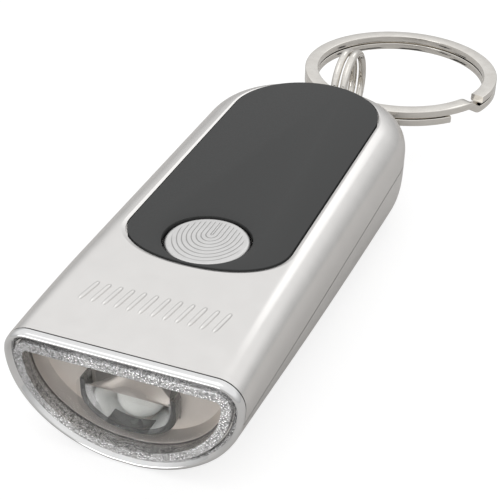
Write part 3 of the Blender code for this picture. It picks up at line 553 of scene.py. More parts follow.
def repeat_tree(name, paint):
    """A Geometry Nodes tree that sets one object out along a line and joins the copies."""
    tree = bpy.data.node_groups.new(name, "GeometryNodeTree")
    tree.interface.new_socket("Piece", in_out="INPUT", socket_type="NodeSocketObject")
    tree.interface.new_socket("Count", in_out="INPUT", socket_type="NodeSocketInt")
    tree.interface.new_socket("First", in_out="INPUT", socket_type="NodeSocketVector")
    tree.interface.new_socket("Step", in_out="INPUT", socket_type="NodeSocketVector")
    tree.interface.new_socket("Geometry", in_out="OUTPUT", socket_type="NodeSocketGeometry")
    given = add_node(tree, "NodeGroupInput")
    line = add_node(tree, "GeometryNodeMeshLine", {
        "Count": given.outputs["Count"], "Start Location": given.outputs["First"],
        "Offset": given.outputs["Step"]})
    piece = add_node(tree, "GeometryNodeObjectInfo", {"Object": given.outputs["Piece"]})
    copies = add_node(tree, "GeometryNodeInstanceOnPoints", {
        "Points": line.outputs[0], "Instance": piece.outputs["Geometry"]})
    joined = add_node(tree, "GeometryNodeRealizeInstances", {"Geometry": copies.outputs[0]})
    painted = add_node(tree, "GeometryNodeSetMaterial", {"Geometry": joined.outputs[0]})
    painted.inputs["Material"].default_value = paint
    output = add_node(tree, "NodeGroupOutput")
    tree.links.new(painted.outputs[0], output.inputs["Geometry"])
    return tree


def set_tree_input(modifier, name, value):
    """Sets a Geometry Nodes input by the identifier of its named socket."""
    for item in modifier.node_group.interface.items_tree:
        if item.name == name and item.in_out == "INPUT":
            modifier[item.identifier] = value


rib = scrap("rib", rib_mesh)
rib_row = scrap("rib_row", lambda bm: bm.verts.new((0.0, 0.0, 0.0)))
row_step = rib_row.modifiers.new("row", "NODES")
row_step.node_group = repeat_tree("rib_repeat", silver)
set_tree_input(row_step, "Piece", rib)
set_tree_input(row_step, "Count", RIB_COUNT)
set_tree_input(row_step, "First", (-RIB_SPACING * (RIB_COUNT - 1) / 2, 0.0, 0.0))
set_tree_input(row_step, "Step", (RIB_SPACING, 0.0, 0.0))
finished("nose_ribs", rib_row, silver, "case", (), 60.0, [rib])


# ---------------------------------------------------------------- inlay
# A moulded strip of matte charcoal plastic pressed into its seat in the top shell, with a round
# hole that the button stands in. Its surface has a fine spark-eroded grain.

INLAY_EDGE = 0.10 * MM
DISH_SLOPE = 0.75 * MM        # the inlay falls away this far behind the button
DISH_FALL = 0.16 * MM
DISH_SET_BACK = 0.6 * MM
INSIDE_HOLE = 0.8 * MM        # the dish is cut from this far inside the hole
CHARCOAL = (0.040, 0.040, 0.040)

charcoal, charcoal_tree, charcoal_shader = finish("charcoal_grain", CHARCOAL, 0.5)
mottled(charcoal_tree, charcoal_shader, 5200.0, ((0.036, 0.037, 0.037), (0.044, 0.045, 0.045)),
        (0.55, 0.68), 0.010 * MM)
inlay = stack("inlay_blank", [inlay_loop(0.0, inlay_low.z), inlay_loop(0.0, top_z)])
inlay_hole = cylinder("inlay_hole", HOLE_RADIUS, (0.0, button_y, inlay_low.z - WALL),
                      (0.0, button_y, top_z + WALL), 128)


def round_loop(radius, z, steps=96):
    return [(across, button_y + DISH_SET_BACK + along, z) for across, along in circle(radius, steps)]


dish_slope = DISH_FALL / DISH_SLOPE
inlay_dish = stack("inlay_dish", [
    round_loop(HOLE_RADIUS - INSIDE_HOLE, top_z - DISH_FALL - INSIDE_HOLE * dish_slope),
    round_loop(HOLE_RADIUS + DISH_SLOPE * 2, top_z + DISH_FALL),
    round_loop(HOLE_RADIUS + DISH_SLOPE * 2, top_z + WALL)])
combine(inlay, [inlay_hole, inlay_dish])
round_edges(inlay, INLAY_EDGE, True)
finished("inlay_charcoal", inlay, charcoal, "case", ["top_panel"], 35.0,
         [inlay_hole, inlay_dish])


# ---------------------------------------------------------------- front bezel
# A drawn metal trim with a bright chrome plating. Its rounded lip closes the lens end, and its
# thin sleeve is pushed into the mouth of the case and holds the lens.

LIP_PROFILE = (               # (inset, distance back from the front), in millimetres
    (0.65, 0.88), (0.03, 0.88), (0.0, 0.85), (0.0, 0.55), (0.05, 0.34), (0.17, 0.13),
    (0.30, 0.02), (0.38, 0.0), (0.47, 0.02), (0.56, 0.10), (0.84, 0.38), (0.95, 0.50), (1.0, 0.62),
    (1.0, 2.1), (0.65, 2.1))


def d_loop(inset, y):
    """The whole outline of the lens end, set in by the inset, at a place along the light."""
    half = half_section(inset, front_y, inset)
    return [(x, y, z) for x, z in half] + [(-x, y, z) for x, z in reversed(half[1:-1])]


def hoop(name, profile, outline):
    """A closed ring: a profile of (inset, distance back) led round an outline."""
    def fill(bm):
        rows = [[bm.verts.new(point) for point in outline(inset, depth)] for inset, depth in profile]
        join_loops(bm, rows + rows[:1])
    return scrap(name, fill)


chrome, chrome_tree, chrome_shader = finish("bezel_chrome", (0.84, 0.84, 0.84), 0.07, 1.0)
mottled(chrome_tree, chrome_shader, 600.0, ((0.82, 0.82, 0.82), (0.86, 0.86, 0.86)), (0.05, 0.10),
        0.001 * MM)
bezel = hoop("bezel_blank", [(inset * MM, depth * MM) for inset, depth in LIP_PROFILE],
             lambda inset, depth: d_loop(inset, front_y + depth))
finished("bezel_chromed", bezel, chrome, "case", ["front_bezel"], 40.0)


# ---------------------------------------------------------------- lens
# One clear acrylic moulding: a flat D-shaped window and, round it, a border whose face is cut
# into hundreds of tiny facets that sparkle, partly from their relief and partly from painted glints. It sits
# just inside the bezel.

LENS_INSET = 1.2 * MM
BORDER_WIDTH = 0.95 * MM
BORDER_CHAMFER = 0.08 * MM
BORDER_CHAMFER_DEPTH = 0.06 * MM
WINDOW_GAP = 0.04 * MM
WINDOW_CHAMFER = 0.05 * MM

lens_low, lens_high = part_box("lens")
lens_thickness = lens_high.y - lens_low.y
border_metal, border_tree, border_shader = finish("lens_border_facets", (0.86, 0.87, 0.88), 0.16, 1.0)
border_place = add_node(border_tree, "ShaderNodeTexCoord").outputs["Object"]
facets = add_node(border_tree, "ShaderNodeTexVoronoi", {"Vector": border_place, "Scale": 6400.0})
# Painted glints: each facet's colour is set anywhere from mid grey to near white, and a coarser noise dims
# broad patches of them. This is painted sparkle and painted reflection, not a tone of the acrylic.
painted_facet_glints = add_node(border_tree, "ShaderNodeValToRGB", {"Fac": facets.outputs["Color"]})
set_stops(painted_facet_glints, (0.2, (0.42, 0.425, 0.43)), (0.5, (0.99, 0.99, 1.0)))
glint_patch_noise = add_node(border_tree, "ShaderNodeTexNoise", {"Vector": border_place, "Scale": 110.0,
                                                        "Detail": 1.0})
painted_glint_patches = add_node(border_tree, "ShaderNodeValToRGB", {"Fac": glint_patch_noise.outputs["Fac"]})
set_stops(painted_glint_patches, (0.38, 0.62), (0.52, 1.0))
painted_glint_color = add_node(border_tree, "ShaderNodeMix", data_type="RGBA", blend_type="MULTIPLY")
painted_glint_color.inputs["Factor"].default_value = 1.0
border_tree.links.new(painted_facet_glints.outputs["Color"], painted_glint_color.inputs["A"])
border_tree.links.new(painted_glint_patches.outputs["Color"], painted_glint_color.inputs["B"])
border_tree.links.new(painted_glint_color.outputs["Result"], border_shader.inputs["Base Color"])
facet_bump = add_node(border_tree, "ShaderNodeBump", {
    "Height": facets.outputs["Distance"], "Strength": 1.0, "Distance": 0.09 * MM})
border_tree.links.new(facet_bump.outputs[0], border_shader.inputs["Normal"])

border = hoop("border_blank", [
    (LENS_INSET, BORDER_CHAMFER_DEPTH), (LENS_INSET + BORDER_CHAMFER, 0.0), (LENS_INSET + BORDER_WIDTH, 0.0),
    (LENS_INSET + BORDER_WIDTH, lens_thickness), (LENS_INSET, lens_thickness)],
    lambda inset, depth: d_loop(inset, lens_low.y + depth))
finished("lens_border", border, border_metal, "case", (), 30.0)

window_inset = LENS_INSET + BORDER_WIDTH + WINDOW_GAP
clear, clear_tree, clear_shader = finish("clear_acrylic", (0.98, 0.985, 0.985), 0.02)
clear_shader.inputs["Transmission Weight"].default_value = 1.0
clear_shader.inputs["IOR"].default_value = 1.49
clear_shader.inputs["Alpha"].default_value = 0.14
clear_noise = add_node(clear_tree, "ShaderNodeTexNoise", {
    "Vector": add_node(clear_tree, "ShaderNodeTexCoord").outputs["Object"], "Scale": 300.0})
clear_bump = add_node(clear_tree, "ShaderNodeBump", {
    "Height": clear_noise.outputs["Fac"], "Strength": 1.0, "Distance": 0.002 * MM})
clear_tree.links.new(clear_bump.outputs[0], clear_shader.inputs["Normal"])
window = stack("window_blank", [
    d_loop(window_inset + WINDOW_CHAMFER, lens_low.y), d_loop(window_inset, lens_low.y + WINDOW_CHAMFER),
    d_loop(window_inset, lens_high.y)])
finished("lens_window", window, clear, "case", ["lens"], 20.0)


# ---------------------------------------------------------------- lens gasket
# A thin black rubber ring behind the lens. Its inner edge shows through the window as a fine
# dark outline.

GASKET_INSIDE = 2.22 * MM

gasket_low, gasket_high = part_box("lens_gasket")
rubber, rubber_tree, rubber_shader = finish("gasket_rubber", (0.02, 0.02, 0.02), 0.7)
mottled(rubber_tree, rubber_shader, 2500.0, ((0.016, 0.016, 0.016), (0.03, 0.03, 0.03)), (0.6, 0.8),
        0.01 * MM)
gasket_depth = gasket_high.y - gasket_low.y
gasket = hoop("gasket_blank", [(LENS_INSET, 0.0), (GASKET_INSIDE, 0.0), (GASKET_INSIDE, gasket_depth),
                               (LENS_INSET, gasket_depth)],
              lambda inset, depth: d_loop(inset, gasket_low.y + depth))
finished("gasket_ring", gasket, rubber, "case", ["lens_gasket"])


# ---------------------------------------------------------------- reflector
# A metallised plastic moulding. Two shallow satin wings flank a bright cup, whose U-shaped rim
# stands forward nearly to the lens and is coloured near black as painted shade and painted dark reflection,
# and the lamp lies in the bottom of the cup.

DISH_INSET = 2.30 * MM
DISH_BACK_INSET = 3.0 * MM
DISH_DEPTH = 1.35 * MM
TROUGH_HALF_WIDTH = 5.0 * MM
TROUGH_DEPTH = 1.5 * MM
CUP_HALF_WIDTH = 5.1 * MM
CUP_BOTTOM_Z = 3.05 * MM
CUP_TOP_Z = 7.5 * MM
CUP_ARM_Z = 8.3 * MM
CUP_RIM = 0.5 * MM
CUP_DEPTH = 4.6 * MM
CUP_COLLAR = 2.75 * MM        # radius of the opening round the lamp
CUP_BEND_SHARE = 0.75         # how far up the cup its round bottom reaches
CUP_MOUTH_BACK = 0.15 * MM
CUP_FLARE = 0.6
CUP_TOP_STEPS = 24
CUP_ROWS = 14
CUP_SKIN = 0.12 * MM
CUP_SWELL = 1.02
RIM_BACK = 0.05 * MM
RIM_PAST_WALL = 0.4 * MM
RIM_EDGE = 0.1 * MM
DISH_BEHIND_LENS = 0.12 * MM
DISH_CUT_AHEAD = 0.3 * MM
DISH_CUT_OUT = 0.05 * MM
DISH_MOUTH_LAND = 0.08 * MM
DISH_WAIST_INSET = 0.40 * MM
DISH_WAIST_SHARE = 0.7
FLANGE_EDGE = 0.8 * MM
FLANGE_ROOT = 1.0 * MM
TROUGH_BACK = 0.5 * MM
TROUGH_BELOW_CUP = 2.2 * MM
TROUGH_HEADROOM = 0.25 * MM

reflector_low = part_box("reflector")[0]
led_low, led_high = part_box("led")
lamp_z = (led_low.z + led_high.z) / 2
flange_y = reflector_low.y
dish_y = lens_high.y + DISH_BEHIND_LENS
wall_y = dish_y + DISH_DEPTH
rim_y = dish_y + RIM_BACK
cup_back_y = reflector_low.y + CUP_DEPTH

satin, satin_tree, satin_shader = finish("wing_satin", (0.74, 0.68, 0.62), 0.30, 0.75)
mottled(satin_tree, satin_shader, 260.0, ((0.74, 0.68, 0.62), (0.86, 0.80, 0.74)), (0.28, 0.40),
        0.004 * MM)
mirror, mirror_tree, mirror_shader = finish("cup_mirror", (0.90, 0.90, 0.90), 0.06, 0.75)
mottled(mirror_tree, mirror_shader, 420.0, ((0.88, 0.88, 0.88), (0.94, 0.94, 0.94)), (0.08, 0.14),
        0.01 * MM)
# The cup's rim is near black: painted shade and painted dark reflection, not a colour of the metallised
# moulding.
rim_painted_shade, rim_tree, rim_shader = finish("cup_rim_painted_shade", (0.07, 0.07, 0.07), 0.22, 0.6)
mottled(rim_tree, rim_shader, 500.0, ((0.05, 0.05, 0.05), (0.10, 0.10, 0.095)), (0.18, 0.30), 0.002 * MM)


def u_path(half_width, bottom_z, top_z, steps=64):
    """(x, z) points down the left arm, round the bottom and up the right arm."""
    bend_z = bottom_z + (CUP_TOP_Z - CUP_BOTTOM_Z) * CUP_BEND_SHARE
    points = [(-half_width, top_z)]
    for step in range(steps + 1):
        angle = math.pi * step / steps
        points.append((-half_width * math.cos(angle), bend_z - (bend_z - bottom_z) * math.sin(angle)))
    points.append((half_width, top_z))
    return points


def u_band(name, front, back):
    """The standing rim of the cup, between its front and its back."""
    outer = u_path(CUP_HALF_WIDTH, CUP_BOTTOM_Z, CUP_ARM_Z)
    inner = u_path(CUP_HALF_WIDTH - CUP_RIM, CUP_BOTTOM_Z + CUP_RIM, CUP_ARM_Z)
    outline = outer + inner[::-1]

    def fill(bm):
        near = [bm.verts.new((x, front, z)) for x, z in outline]
        far = [bm.verts.new((x, back, z)) for x, z in outline]
        join_loops(bm, [near, far])
        for index in range(len(outer) - 1):
            opposite = len(outline) - 1 - index
            bm.faces.new((near[index], near[index + 1], near[opposite - 1], near[opposite]))
            bm.faces.new((far[index], far[index + 1], far[opposite - 1], far[opposite]))
    return scrap(name, fill)


dish = stack("dish_blank", [
    d_loop(DISH_INSET, dish_y), d_loop(DISH_INSET, flange_y), d_loop(LENS_INSET, flange_y),
    d_loop(LENS_INSET, flange_y + FLANGE_EDGE), d_loop(DISH_INSET, flange_y + FLANGE_ROOT),
    d_loop(DISH_INSET + WALL, cup_back_y)])
dish_cut = stack("dish_cut", [
    d_loop(DISH_INSET - DISH_CUT_OUT, dish_y - DISH_CUT_AHEAD), d_loop(DISH_INSET + DISH_MOUTH_LAND, dish_y),
    d_loop(DISH_INSET + DISH_WAIST_INSET, dish_y + DISH_DEPTH * DISH_WAIST_SHARE),
    d_loop(DISH_BACK_INSET, wall_y)])
cup_hole = stack("cup_hole", [
    [(x, y, z) for x, z in u_path(CUP_HALF_WIDTH - CUP_RIM / 2, CUP_BOTTOM_Z + CUP_RIM / 2, CUP_TOP_Z)]
    for y in (dish_y - WALL, cup_back_y + WALL)])
trough = box("trough", (-TROUGH_HALF_WIDTH, dish_y + TROUGH_BACK, CUP_TOP_Z - TROUGH_BELOW_CUP),
             (TROUGH_HALF_WIDTH, wall_y + TROUGH_DEPTH,
              crown_z(front_y) - DISH_BACK_INSET + TROUGH_HEADROOM))
combine(dish, [dish_cut, cup_hole, trough])
finished("reflector_wings", dish, satin, "case", ["reflector"], 25.0,
         [dish_cut, cup_hole, trough])

rim_band = u_band("rim_blank", rim_y, wall_y + RIM_PAST_WALL)
round_edges(rim_band, RIM_EDGE)
finished("cup_rim", rim_band, rim_painted_shade, "case", (), 35.0)


def cup_row(share, steps=64):
    """A closed outline of the cup part of the way from its mouth to the collar round the lamp."""
    mouth = u_path(CUP_HALF_WIDTH - CUP_RIM, CUP_BOTTOM_Z + CUP_RIM, CUP_TOP_Z, steps)
    for step in range(1, CUP_TOP_STEPS):
        mouth.append(((CUP_HALF_WIDTH - CUP_RIM) * (1 - 2 * step / CUP_TOP_STEPS), CUP_TOP_Z))
    points = []
    for x, z in mouth:
        angle = math.atan2(z - lamp_z, x)
        round_x = CUP_COLLAR * math.cos(angle)
        round_z = lamp_z + CUP_COLLAR * math.sin(angle)
        points.append((between(x, round_x, share ** CUP_FLARE), between(z, round_z, share ** CUP_FLARE)))
    y = rim_y + CUP_MOUTH_BACK + (cup_back_y - rim_y - CUP_MOUTH_BACK) * share
    return [(x, y, z) for x, z in points]


def cup_skin(bm):
    """The cup's bright inside and, a little behind it, its plain outside."""
    inside = [[bm.verts.new(point) for point in cup_row(step / CUP_ROWS)] for step in range(CUP_ROWS + 1)]
    outside = []
    for row in inside:
        outside.append([bm.verts.new((v.co.x * CUP_SWELL, v.co.y + CUP_SKIN,
                                      lamp_z + (v.co.z - lamp_z) * CUP_SWELL)) for v in row])
    join_loops(bm, inside + outside[::-1] + inside[:1])


finished("cup_bowl", scrap("cup_blank", cup_skin), mirror, "case", (), 40.0)


# ---------------------------------------------------------------- lamp
# A five-millimetre LED in milky epoxy, lying on its side with its round nose towards the lens.

LED_RADIUS = 2.5 * MM
LED_FLANGE_RADIUS = 2.9 * MM
LED_LENGTH = 7.4 * MM
LED_FLANGE_BACK = 8.4 * MM
NOSE_STEPS = 18

epoxy, epoxy_tree, epoxy_shader = finish("led_milky_epoxy", (0.86, 0.88, 0.84), 0.12)
epoxy_shader.inputs["Subsurface Weight"].default_value = 0.4
epoxy_shader.inputs["Subsurface Radius"].default_value = (0.002, 0.002, 0.002)
mottled(epoxy_tree, epoxy_shader, 500.0, ((0.78, 0.80, 0.77), (0.90, 0.91, 0.88)), (0.08, 0.18), 0.003 * MM)


def lathe(profile, origin, axis, steps=72):
    """Fills a turned solid; the profile is (radius, distance along the axis) from end to end."""
    turn = Vector(axis).to_track_quat("Z", "Y").to_matrix()

    def fill(bm):
        rows = []
        for radius, distance in profile:
            if radius == 0.0:
                rows.append([bm.verts.new(Vector(origin) + turn @ Vector((0.0, 0.0, distance)))])
                continue
            rows.append([bm.verts.new(Vector(origin) + turn @ Vector((u, v, distance)))
                         for u, v in circle(radius, steps)])
        for row, following in zip(rows, rows[1:]):
            for step in range(steps):
                after = (step + 1) % steps
                if len(row) == 1:
                    bm.faces.new((row[0], following[step], following[after]))
                elif len(following) == 1:
                    bm.faces.new((row[step], row[after], following[0]))
                else:
                    bm.faces.new((row[step], row[after], following[after], following[step]))
    return fill


nose_y = led_low.y
led_profile = [(0.0, 0.0)]
for step in range(1, NOSE_STEPS + 1):
    angle = math.pi / 2 * step / NOSE_STEPS
    led_profile.append((LED_RADIUS * math.sin(angle), LED_RADIUS * (1 - math.cos(angle))))
led_profile += [(LED_RADIUS, LED_LENGTH), (LED_FLANGE_RADIUS, LED_LENGTH),
                (LED_FLANGE_RADIUS, LED_FLANGE_BACK), (0.0, LED_FLANGE_BACK)]
led_shape = scrap("led_blank", lathe(led_profile, (0.0, nose_y, lamp_z), (0.0, 1.0, 0.0)))
finished("led_lamp", led_shape, epoxy, "case", ["led"], 40.0)


# ---------------------------------------------------------------- button
# The thumb button is moulded plastic with a satin silver plating. Nested looping grooves like
# the lines of a fingertip are engraved in its slightly domed face, with painted shade in them. It slides 0.6
# mm.

CAP_RADIUS = 4.6 * MM
CAP_ROUND = 0.35 * MM
CAP_CROWN = 0.10 * MM
GROOVE_PITCH = 0.50 * MM
GROOVE_DEPTH = 0.05 * MM
GROOVE_WIDTH = 0.15 * MM
GROOVE_CENTRE = 1.3 * MM      # behind the middle of the button
GROOVE_REACH = 4.0 * MM
GROOVE_FADE = 0.25 * MM
GROOVE_STRETCH = 0.80         # flattens the loops lengthways
GROOVE_PHASE = 0.25
GROOVE_SHARPNESS = 0.8
FLANGE_RADIUS = 5.4 * MM
FLANGE_THICKNESS = 0.6 * MM
FLANGE_BELOW_TOP = 1.95 * MM
STEM_RADIUS = 1.5 * MM
CAP_RINGS = 110
CAP_SPOKES = 384
CAP_ROUND_STEPS = 6

flange_top_z = cap_high.z - FLANGE_BELOW_TOP
flange_low_z = flange_top_z - FLANGE_THICKNESS
cap_top = cap_high.z


def groove_at(x, y):
    """0 on the smooth face, rising to 1 in the middle of a groove."""
    along = y - GROOVE_CENTRE
    radius = abs(x) if along > 0 else math.sqrt(x * x + (along * GROOVE_STRETCH) ** 2)
    edge = math.sqrt(x * x + y * y)
    fade = min(max((GROOVE_REACH - edge) / GROOVE_FADE, 0.0), 1.0)
    offset = abs((radius / GROOVE_PITCH + GROOVE_PHASE) % 1.0 - 0.5) * GROOVE_PITCH
    return fade * max(1 - offset / (GROOVE_WIDTH / 2), 0.0) ** GROOVE_SHARPNESS


def cap_mesh(bm):
    groove_layer = bm.verts.layers.float.new("groove")
    rows = []
    face_radius = CAP_RADIUS - CAP_ROUND
    for ring in range(1, CAP_RINGS + 1):
        radius = face_radius * ring / CAP_RINGS
        row = []
        for x, y in circle(radius, CAP_SPOKES):
            groove = groove_at(x, y)
            crown = cap_top - CAP_CROWN * (radius / CAP_RADIUS) ** 2
            vert = bm.verts.new((x, button_y + y, crown - GROOVE_DEPTH * groove))
            vert[groove_layer] = groove
            row.append(vert)
        rows.append(row)
    skirt = []
    for step in range(1, CAP_ROUND_STEPS + 1):
        angle = math.pi / 2 * step / CAP_ROUND_STEPS
        skirt.append((face_radius + CAP_ROUND * math.sin(angle),
                      cap_top - CAP_CROWN - CAP_ROUND * (1 - math.cos(angle))))
    skirt += [(CAP_RADIUS, flange_top_z), (FLANGE_RADIUS, flange_top_z),
              (FLANGE_RADIUS, flange_low_z), (STEM_RADIUS, flange_low_z), (STEM_RADIUS, cap_low.z)]
    for radius, z in skirt:
        rows.append([bm.verts.new((across, button_y + along, z))
                     for across, along in circle(radius, CAP_SPOKES)])
    centre = bm.verts.new((0.0, button_y, cap_top))
    foot = bm.verts.new((0.0, button_y, cap_low.z))
    for spoke in range(CAP_SPOKES):
        after = (spoke + 1) % CAP_SPOKES
        bm.faces.new((centre, rows[0][spoke], rows[0][after]))
        bm.faces.new((foot, rows[-1][after], rows[-1][spoke]))
    for row, following in zip(rows, rows[1:]):
        for spoke in range(CAP_SPOKES):
            after = (spoke + 1) % CAP_SPOKES
            bm.faces.new((row[spoke], following[spoke], following[after], row[after]))


satin_cap, cap_tree, cap_shader = finish("button_satin_plating", (0.74, 0.735, 0.73), 0.34, 1.0)
mottled(cap_tree, cap_shader, 900.0, ((0.72, 0.715, 0.71), (0.78, 0.775, 0.77)), (0.32, 0.42), 0.004 * MM)
cap_shader.inputs["Metallic"].default_value = 0.75
# Painted shade: the groove mask darkens the plating's colour in the engraved lines.
groove_painted_shade = add_node(cap_tree, "ShaderNodeMix", data_type="RGBA")
cap_tree.links.new(add_node(cap_tree, "ShaderNodeAttribute", attribute_name="groove").outputs["Fac"],
                   groove_painted_shade.inputs["Factor"])
cap_color = cap_shader.inputs["Base Color"].links[0].from_socket
cap_tree.links.new(cap_color, groove_painted_shade.inputs["A"])
groove_painted_shade.inputs["B"].default_value = (0.30, 0.295, 0.29, 1.0)
cap_tree.links.new(groove_painted_shade.outputs["Result"], cap_shader.inputs["Base Color"])
finished("button_cap", scrap("cap_blank", cap_mesh), satin_cap, "button", ["button"], 40.0)


# ---------------------------------------------------------------- bail
# A bent loop of spring-steel wire. Its feet are held behind the end wall of the case, and the
# small ring hangs on its crossbar.

BAIL_FOOT = 2.1 * MM
BAIL_BEND = 0.9 * MM
WIRE_STEPS = 28               # points round a round wire

bar_y = bail_high.y - BAIL_WIRE / 2
foot_y = bail_low.y + BAIL_WIRE / 2


def bar_along(name, route, axis, section):
    """A bar of the given (outward, sideways) section led along a route that turns about the axis."""
    points = [Vector(point) for point in route]

    def fill(bm):
        rows = []
        for index, point in enumerate(points):
            before = points[max(index - 1, 0)]
            after = points[min(index + 1, len(points) - 1)]
            heading = (after - before).normalized()
            outward = heading.cross(Vector(axis)).normalized()
            sideways = outward.cross(heading)
            rows.append([bm.verts.new(point + outward * u + sideways * v) for u, v in section])
        join_loops(bm, rows)
        bm.faces.new(rows[0])
        bm.faces.new(rows[-1])
    return scrap(name, fill)


def bend_points(centre_x, centre_y, start, turn, radius, steps=14):
    for step in range(steps + 1):
        angle = math.radians(start + turn * step / steps)
        yield (centre_x + radius * math.cos(angle), centre_y + radius * math.sin(angle), parting_z)


def wire_metal(name, colors, roughness, drawn):
    """Bright drawn wire: fine lines along it and a little wear."""
    made, tree, shader = finish(name, colors[0], roughness[0], 1.0)
    mottled(tree, shader, 700.0, colors, roughness, 0.004 * MM, drawn)
    return made


right_side = [(BAIL_HALF_SPAN + BAIL_FOOT, foot_y, parting_z)]
right_side += bend_points(BAIL_HALF_SPAN + BAIL_BEND, foot_y + BAIL_BEND, 270.0, -90.0, BAIL_BEND)
right_side += bend_points(BAIL_HALF_SPAN - BAIL_BEND, bar_y - BAIL_BEND, 0.0, 90.0, BAIL_BEND)
left_side = [(-x, y, z) for x, y, z in reversed(right_side)]
bail_steel = wire_metal("bail_spring_steel", ((0.58, 0.575, 0.565), (0.66, 0.655, 0.645)), (0.16, 0.28),
                        (4.0, 1.0, 4.0))
finished("bail_loop", bar_along("bail_blank", right_side + left_side, (0.0, 0.0, 1.0),
                                list(circle(BAIL_WIRE / 2, WIRE_STEPS))),
         bail_steel, "case", ["ring_bail"], 40.0)


# ---------------------------------------------------------------- small split ring
# Two turns of round nickel-plated spring wire side by side, standing upright on the bail.

SMALL_RING_WIRE = 1.05 * MM
SMALL_RING_PITCH = 1.3 * MM
SMALL_RING_TURNS = 1.9
SMALL_RING_END = 255.0
SMALL_RING_POINTS = 260
JOG_DEGREES = 16.0

small_low, small_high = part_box("small_split_ring")
small_y = (small_low.y + small_high.y) / 2
small_z = (small_low.z + small_high.z) / 2
small_middle = (small_high.y - small_low.y) / 2 - SMALL_RING_WIRE / 2
nickel = wire_metal("ring_nickel_plating", ((0.76, 0.73, 0.685), (0.86, 0.835, 0.79)), (0.04, 0.10),
                    (1.0, 1.0, 8.0))


def jogged(turns, share, pitch, late=0.0, degrees=JOG_DEGREES):
    """The sideways place of a split ring's wire: one side for a turn, then a short jog across."""
    jog = degrees / 360 / turns
    across = min(max((share - 0.5 - late / 360 / turns) / jog + 0.5, 0.0), 1.0)
    return pitch * (across * across * (3 - 2 * across) - 0.5)


small_route = []
for step in range(SMALL_RING_POINTS + 1):
    share = step / SMALL_RING_POINTS
    angle = math.radians(SMALL_RING_END) + 2 * math.pi * SMALL_RING_TURNS * share
    small_route.append((jogged(SMALL_RING_TURNS, share, SMALL_RING_PITCH),
                        small_y + small_middle * math.cos(angle), small_z + small_middle * math.sin(angle)))
finished("small_ring_coil", bar_along("small_ring_blank", small_route, (1.0, 0.0, 0.0),
                                      list(circle(SMALL_RING_WIRE / 2, WIRE_STEPS))),
         nickel, "small_ring", ["small_split_ring"], 40.0)


# ---------------------------------------------------------------- key ring
# Two turns of flat nickel-plated spring wire lying one on the other. The wire jogs from the upper
# turn down to the lower beside its square-cut ends.

KEY_RING_WIDTH = 1.9 * MM
KEY_RING_TURN = 1.0 * MM
KEY_RING_CORNER = 0.14 * MM
KEY_RING_PITCH = 1.2 * MM
KEY_RING_TURNS = 1.93
JOG_CENTRE = -31.5
KEY_JOG_LATE = 5.5            # degrees past the middle of the wire
KEY_JOG_DEGREES = 11.0
KEY_RING_POINTS = 420

key_low, key_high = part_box("key_ring")
key_radius = (key_high.x - key_low.x) / 2
key_x = (key_high.x + key_low.x) / 2
key_y = key_high.y - key_radius
key_z = (key_high.z + key_low.z) / 2
key_middle = key_radius - KEY_RING_WIDTH / 2


def flat_section(width, height, radius, steps=5):
    """A rectangle with rounded corners, as (outward, sideways) points."""
    points = []
    for corner, (side, level) in enumerate(((1, 1), (-1, 1), (-1, -1), (1, -1))):
        for step in range(steps + 1):
            angle = math.pi / 2 * (corner + step / steps)
            points.append((side * (width / 2 - radius) + radius * math.cos(angle),
                           level * (height / 2 - radius) + radius * math.sin(angle)))
    return points


key_route = []
for step in range(KEY_RING_POINTS + 1):
    share = step / KEY_RING_POINTS
    angle = math.radians(JOG_CENTRE) + 2 * math.pi * KEY_RING_TURNS * (share - 0.5)
    key_route.append((key_x + key_middle * math.cos(angle), key_y + key_middle * math.sin(angle),
                      key_z - jogged(KEY_RING_TURNS, share, KEY_RING_PITCH, KEY_JOG_LATE, KEY_JOG_DEGREES)))
finished("key_ring_coil", bar_along("key_ring_blank", key_route, (0.0, 0.0, 1.0),
                                    flat_section(KEY_RING_WIDTH, KEY_RING_TURN, KEY_RING_CORNER)),
         nickel, "key_ring", ["key_ring"], 30.0)


# ---------------------------------------------------------------- parts inside the case
# The switch, circuit board, lamp wires, cells, cradle, contacts and screws keep their CAD shapes
# and take the finish of what they are made of.

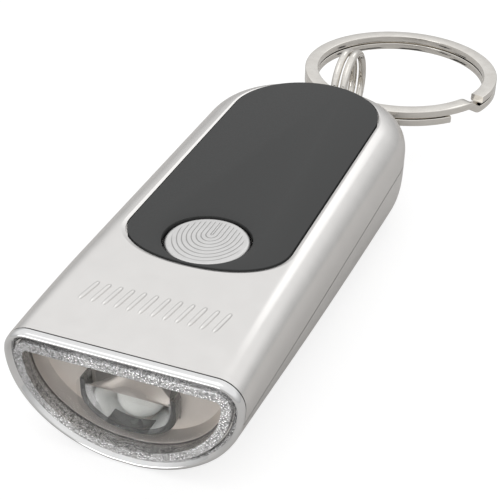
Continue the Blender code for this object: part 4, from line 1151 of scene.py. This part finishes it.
def plain_finish(name, colors, roughness, metallic, scale, relief):
    made, tree, shader = finish(name, colors[0], roughness[0], metallic)
    mottled(tree, shader, scale, colors, roughness, relief)
    return made


zinc = plain_finish("screw_zinc", ((0.55, 0.56, 0.58), (0.66, 0.67, 0.69)), (0.25, 0.42), 1.0, 1500.0,
                    0.004 * MM)
contact_metal = plain_finish("contact_nickel_strip", ((0.66, 0.64, 0.60), (0.76, 0.74, 0.70)),
                             (0.20, 0.34), 1.0, 1800.0, 0.003 * MM)
tin = plain_finish("lamp_wire_tin", ((0.62, 0.62, 0.63), (0.74, 0.74, 0.75)), (0.22, 0.36), 1.0, 2600.0,
                   0.003 * MM)
cell_can = plain_finish("cell_steel_can", ((0.60, 0.60, 0.60), (0.72, 0.72, 0.72)), (0.18, 0.32), 1.0,
                        700.0, 0.003 * MM)
snap_steel = plain_finish("snap_dome_steel", ((0.60, 0.60, 0.61), (0.70, 0.70, 0.71)), (0.14, 0.26), 1.0,
                          1600.0, 0.002 * MM)
solder_mask = plain_finish("board_solder_mask", ((0.012, 0.12, 0.045), (0.025, 0.18, 0.07)), (0.28, 0.42),
                           0.0, 900.0, 0.006 * MM)
black_plastic = plain_finish("black_nylon", ((0.016, 0.016, 0.016), (0.030, 0.030, 0.030)), (0.45, 0.65),
                             0.0, 2400.0, 0.008 * MM)
resistor_body = plain_finish("resistor_body", ((0.022, 0.022, 0.024), (0.045, 0.045, 0.048)), (0.35, 0.5),
                             0.0, 3000.0, 0.004 * MM)

INSIDE_FINISHES = {
    "switch_dome": snap_steel, "switch_base": black_plastic, "led_lead_left": tin, "led_lead_right": tin,
    "circuit_board": solder_mask, "resistor": resistor_body, "coin_cell_lower": cell_can,
    "coin_cell_upper": cell_can, "battery_cradle": black_plastic, "positive_contact": contact_metal,
    "negative_contact": contact_metal, "case_screw_front": zinc, "case_screw_rear": zinc,
    "board_screw_left": zinc, "board_screw_right": zinc}
for node_name, paint_used in INSIDE_FINISHES.items():
    node_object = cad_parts[node_name]
    node_object.data.materials.clear()
    node_object.data.materials.append(paint_used)
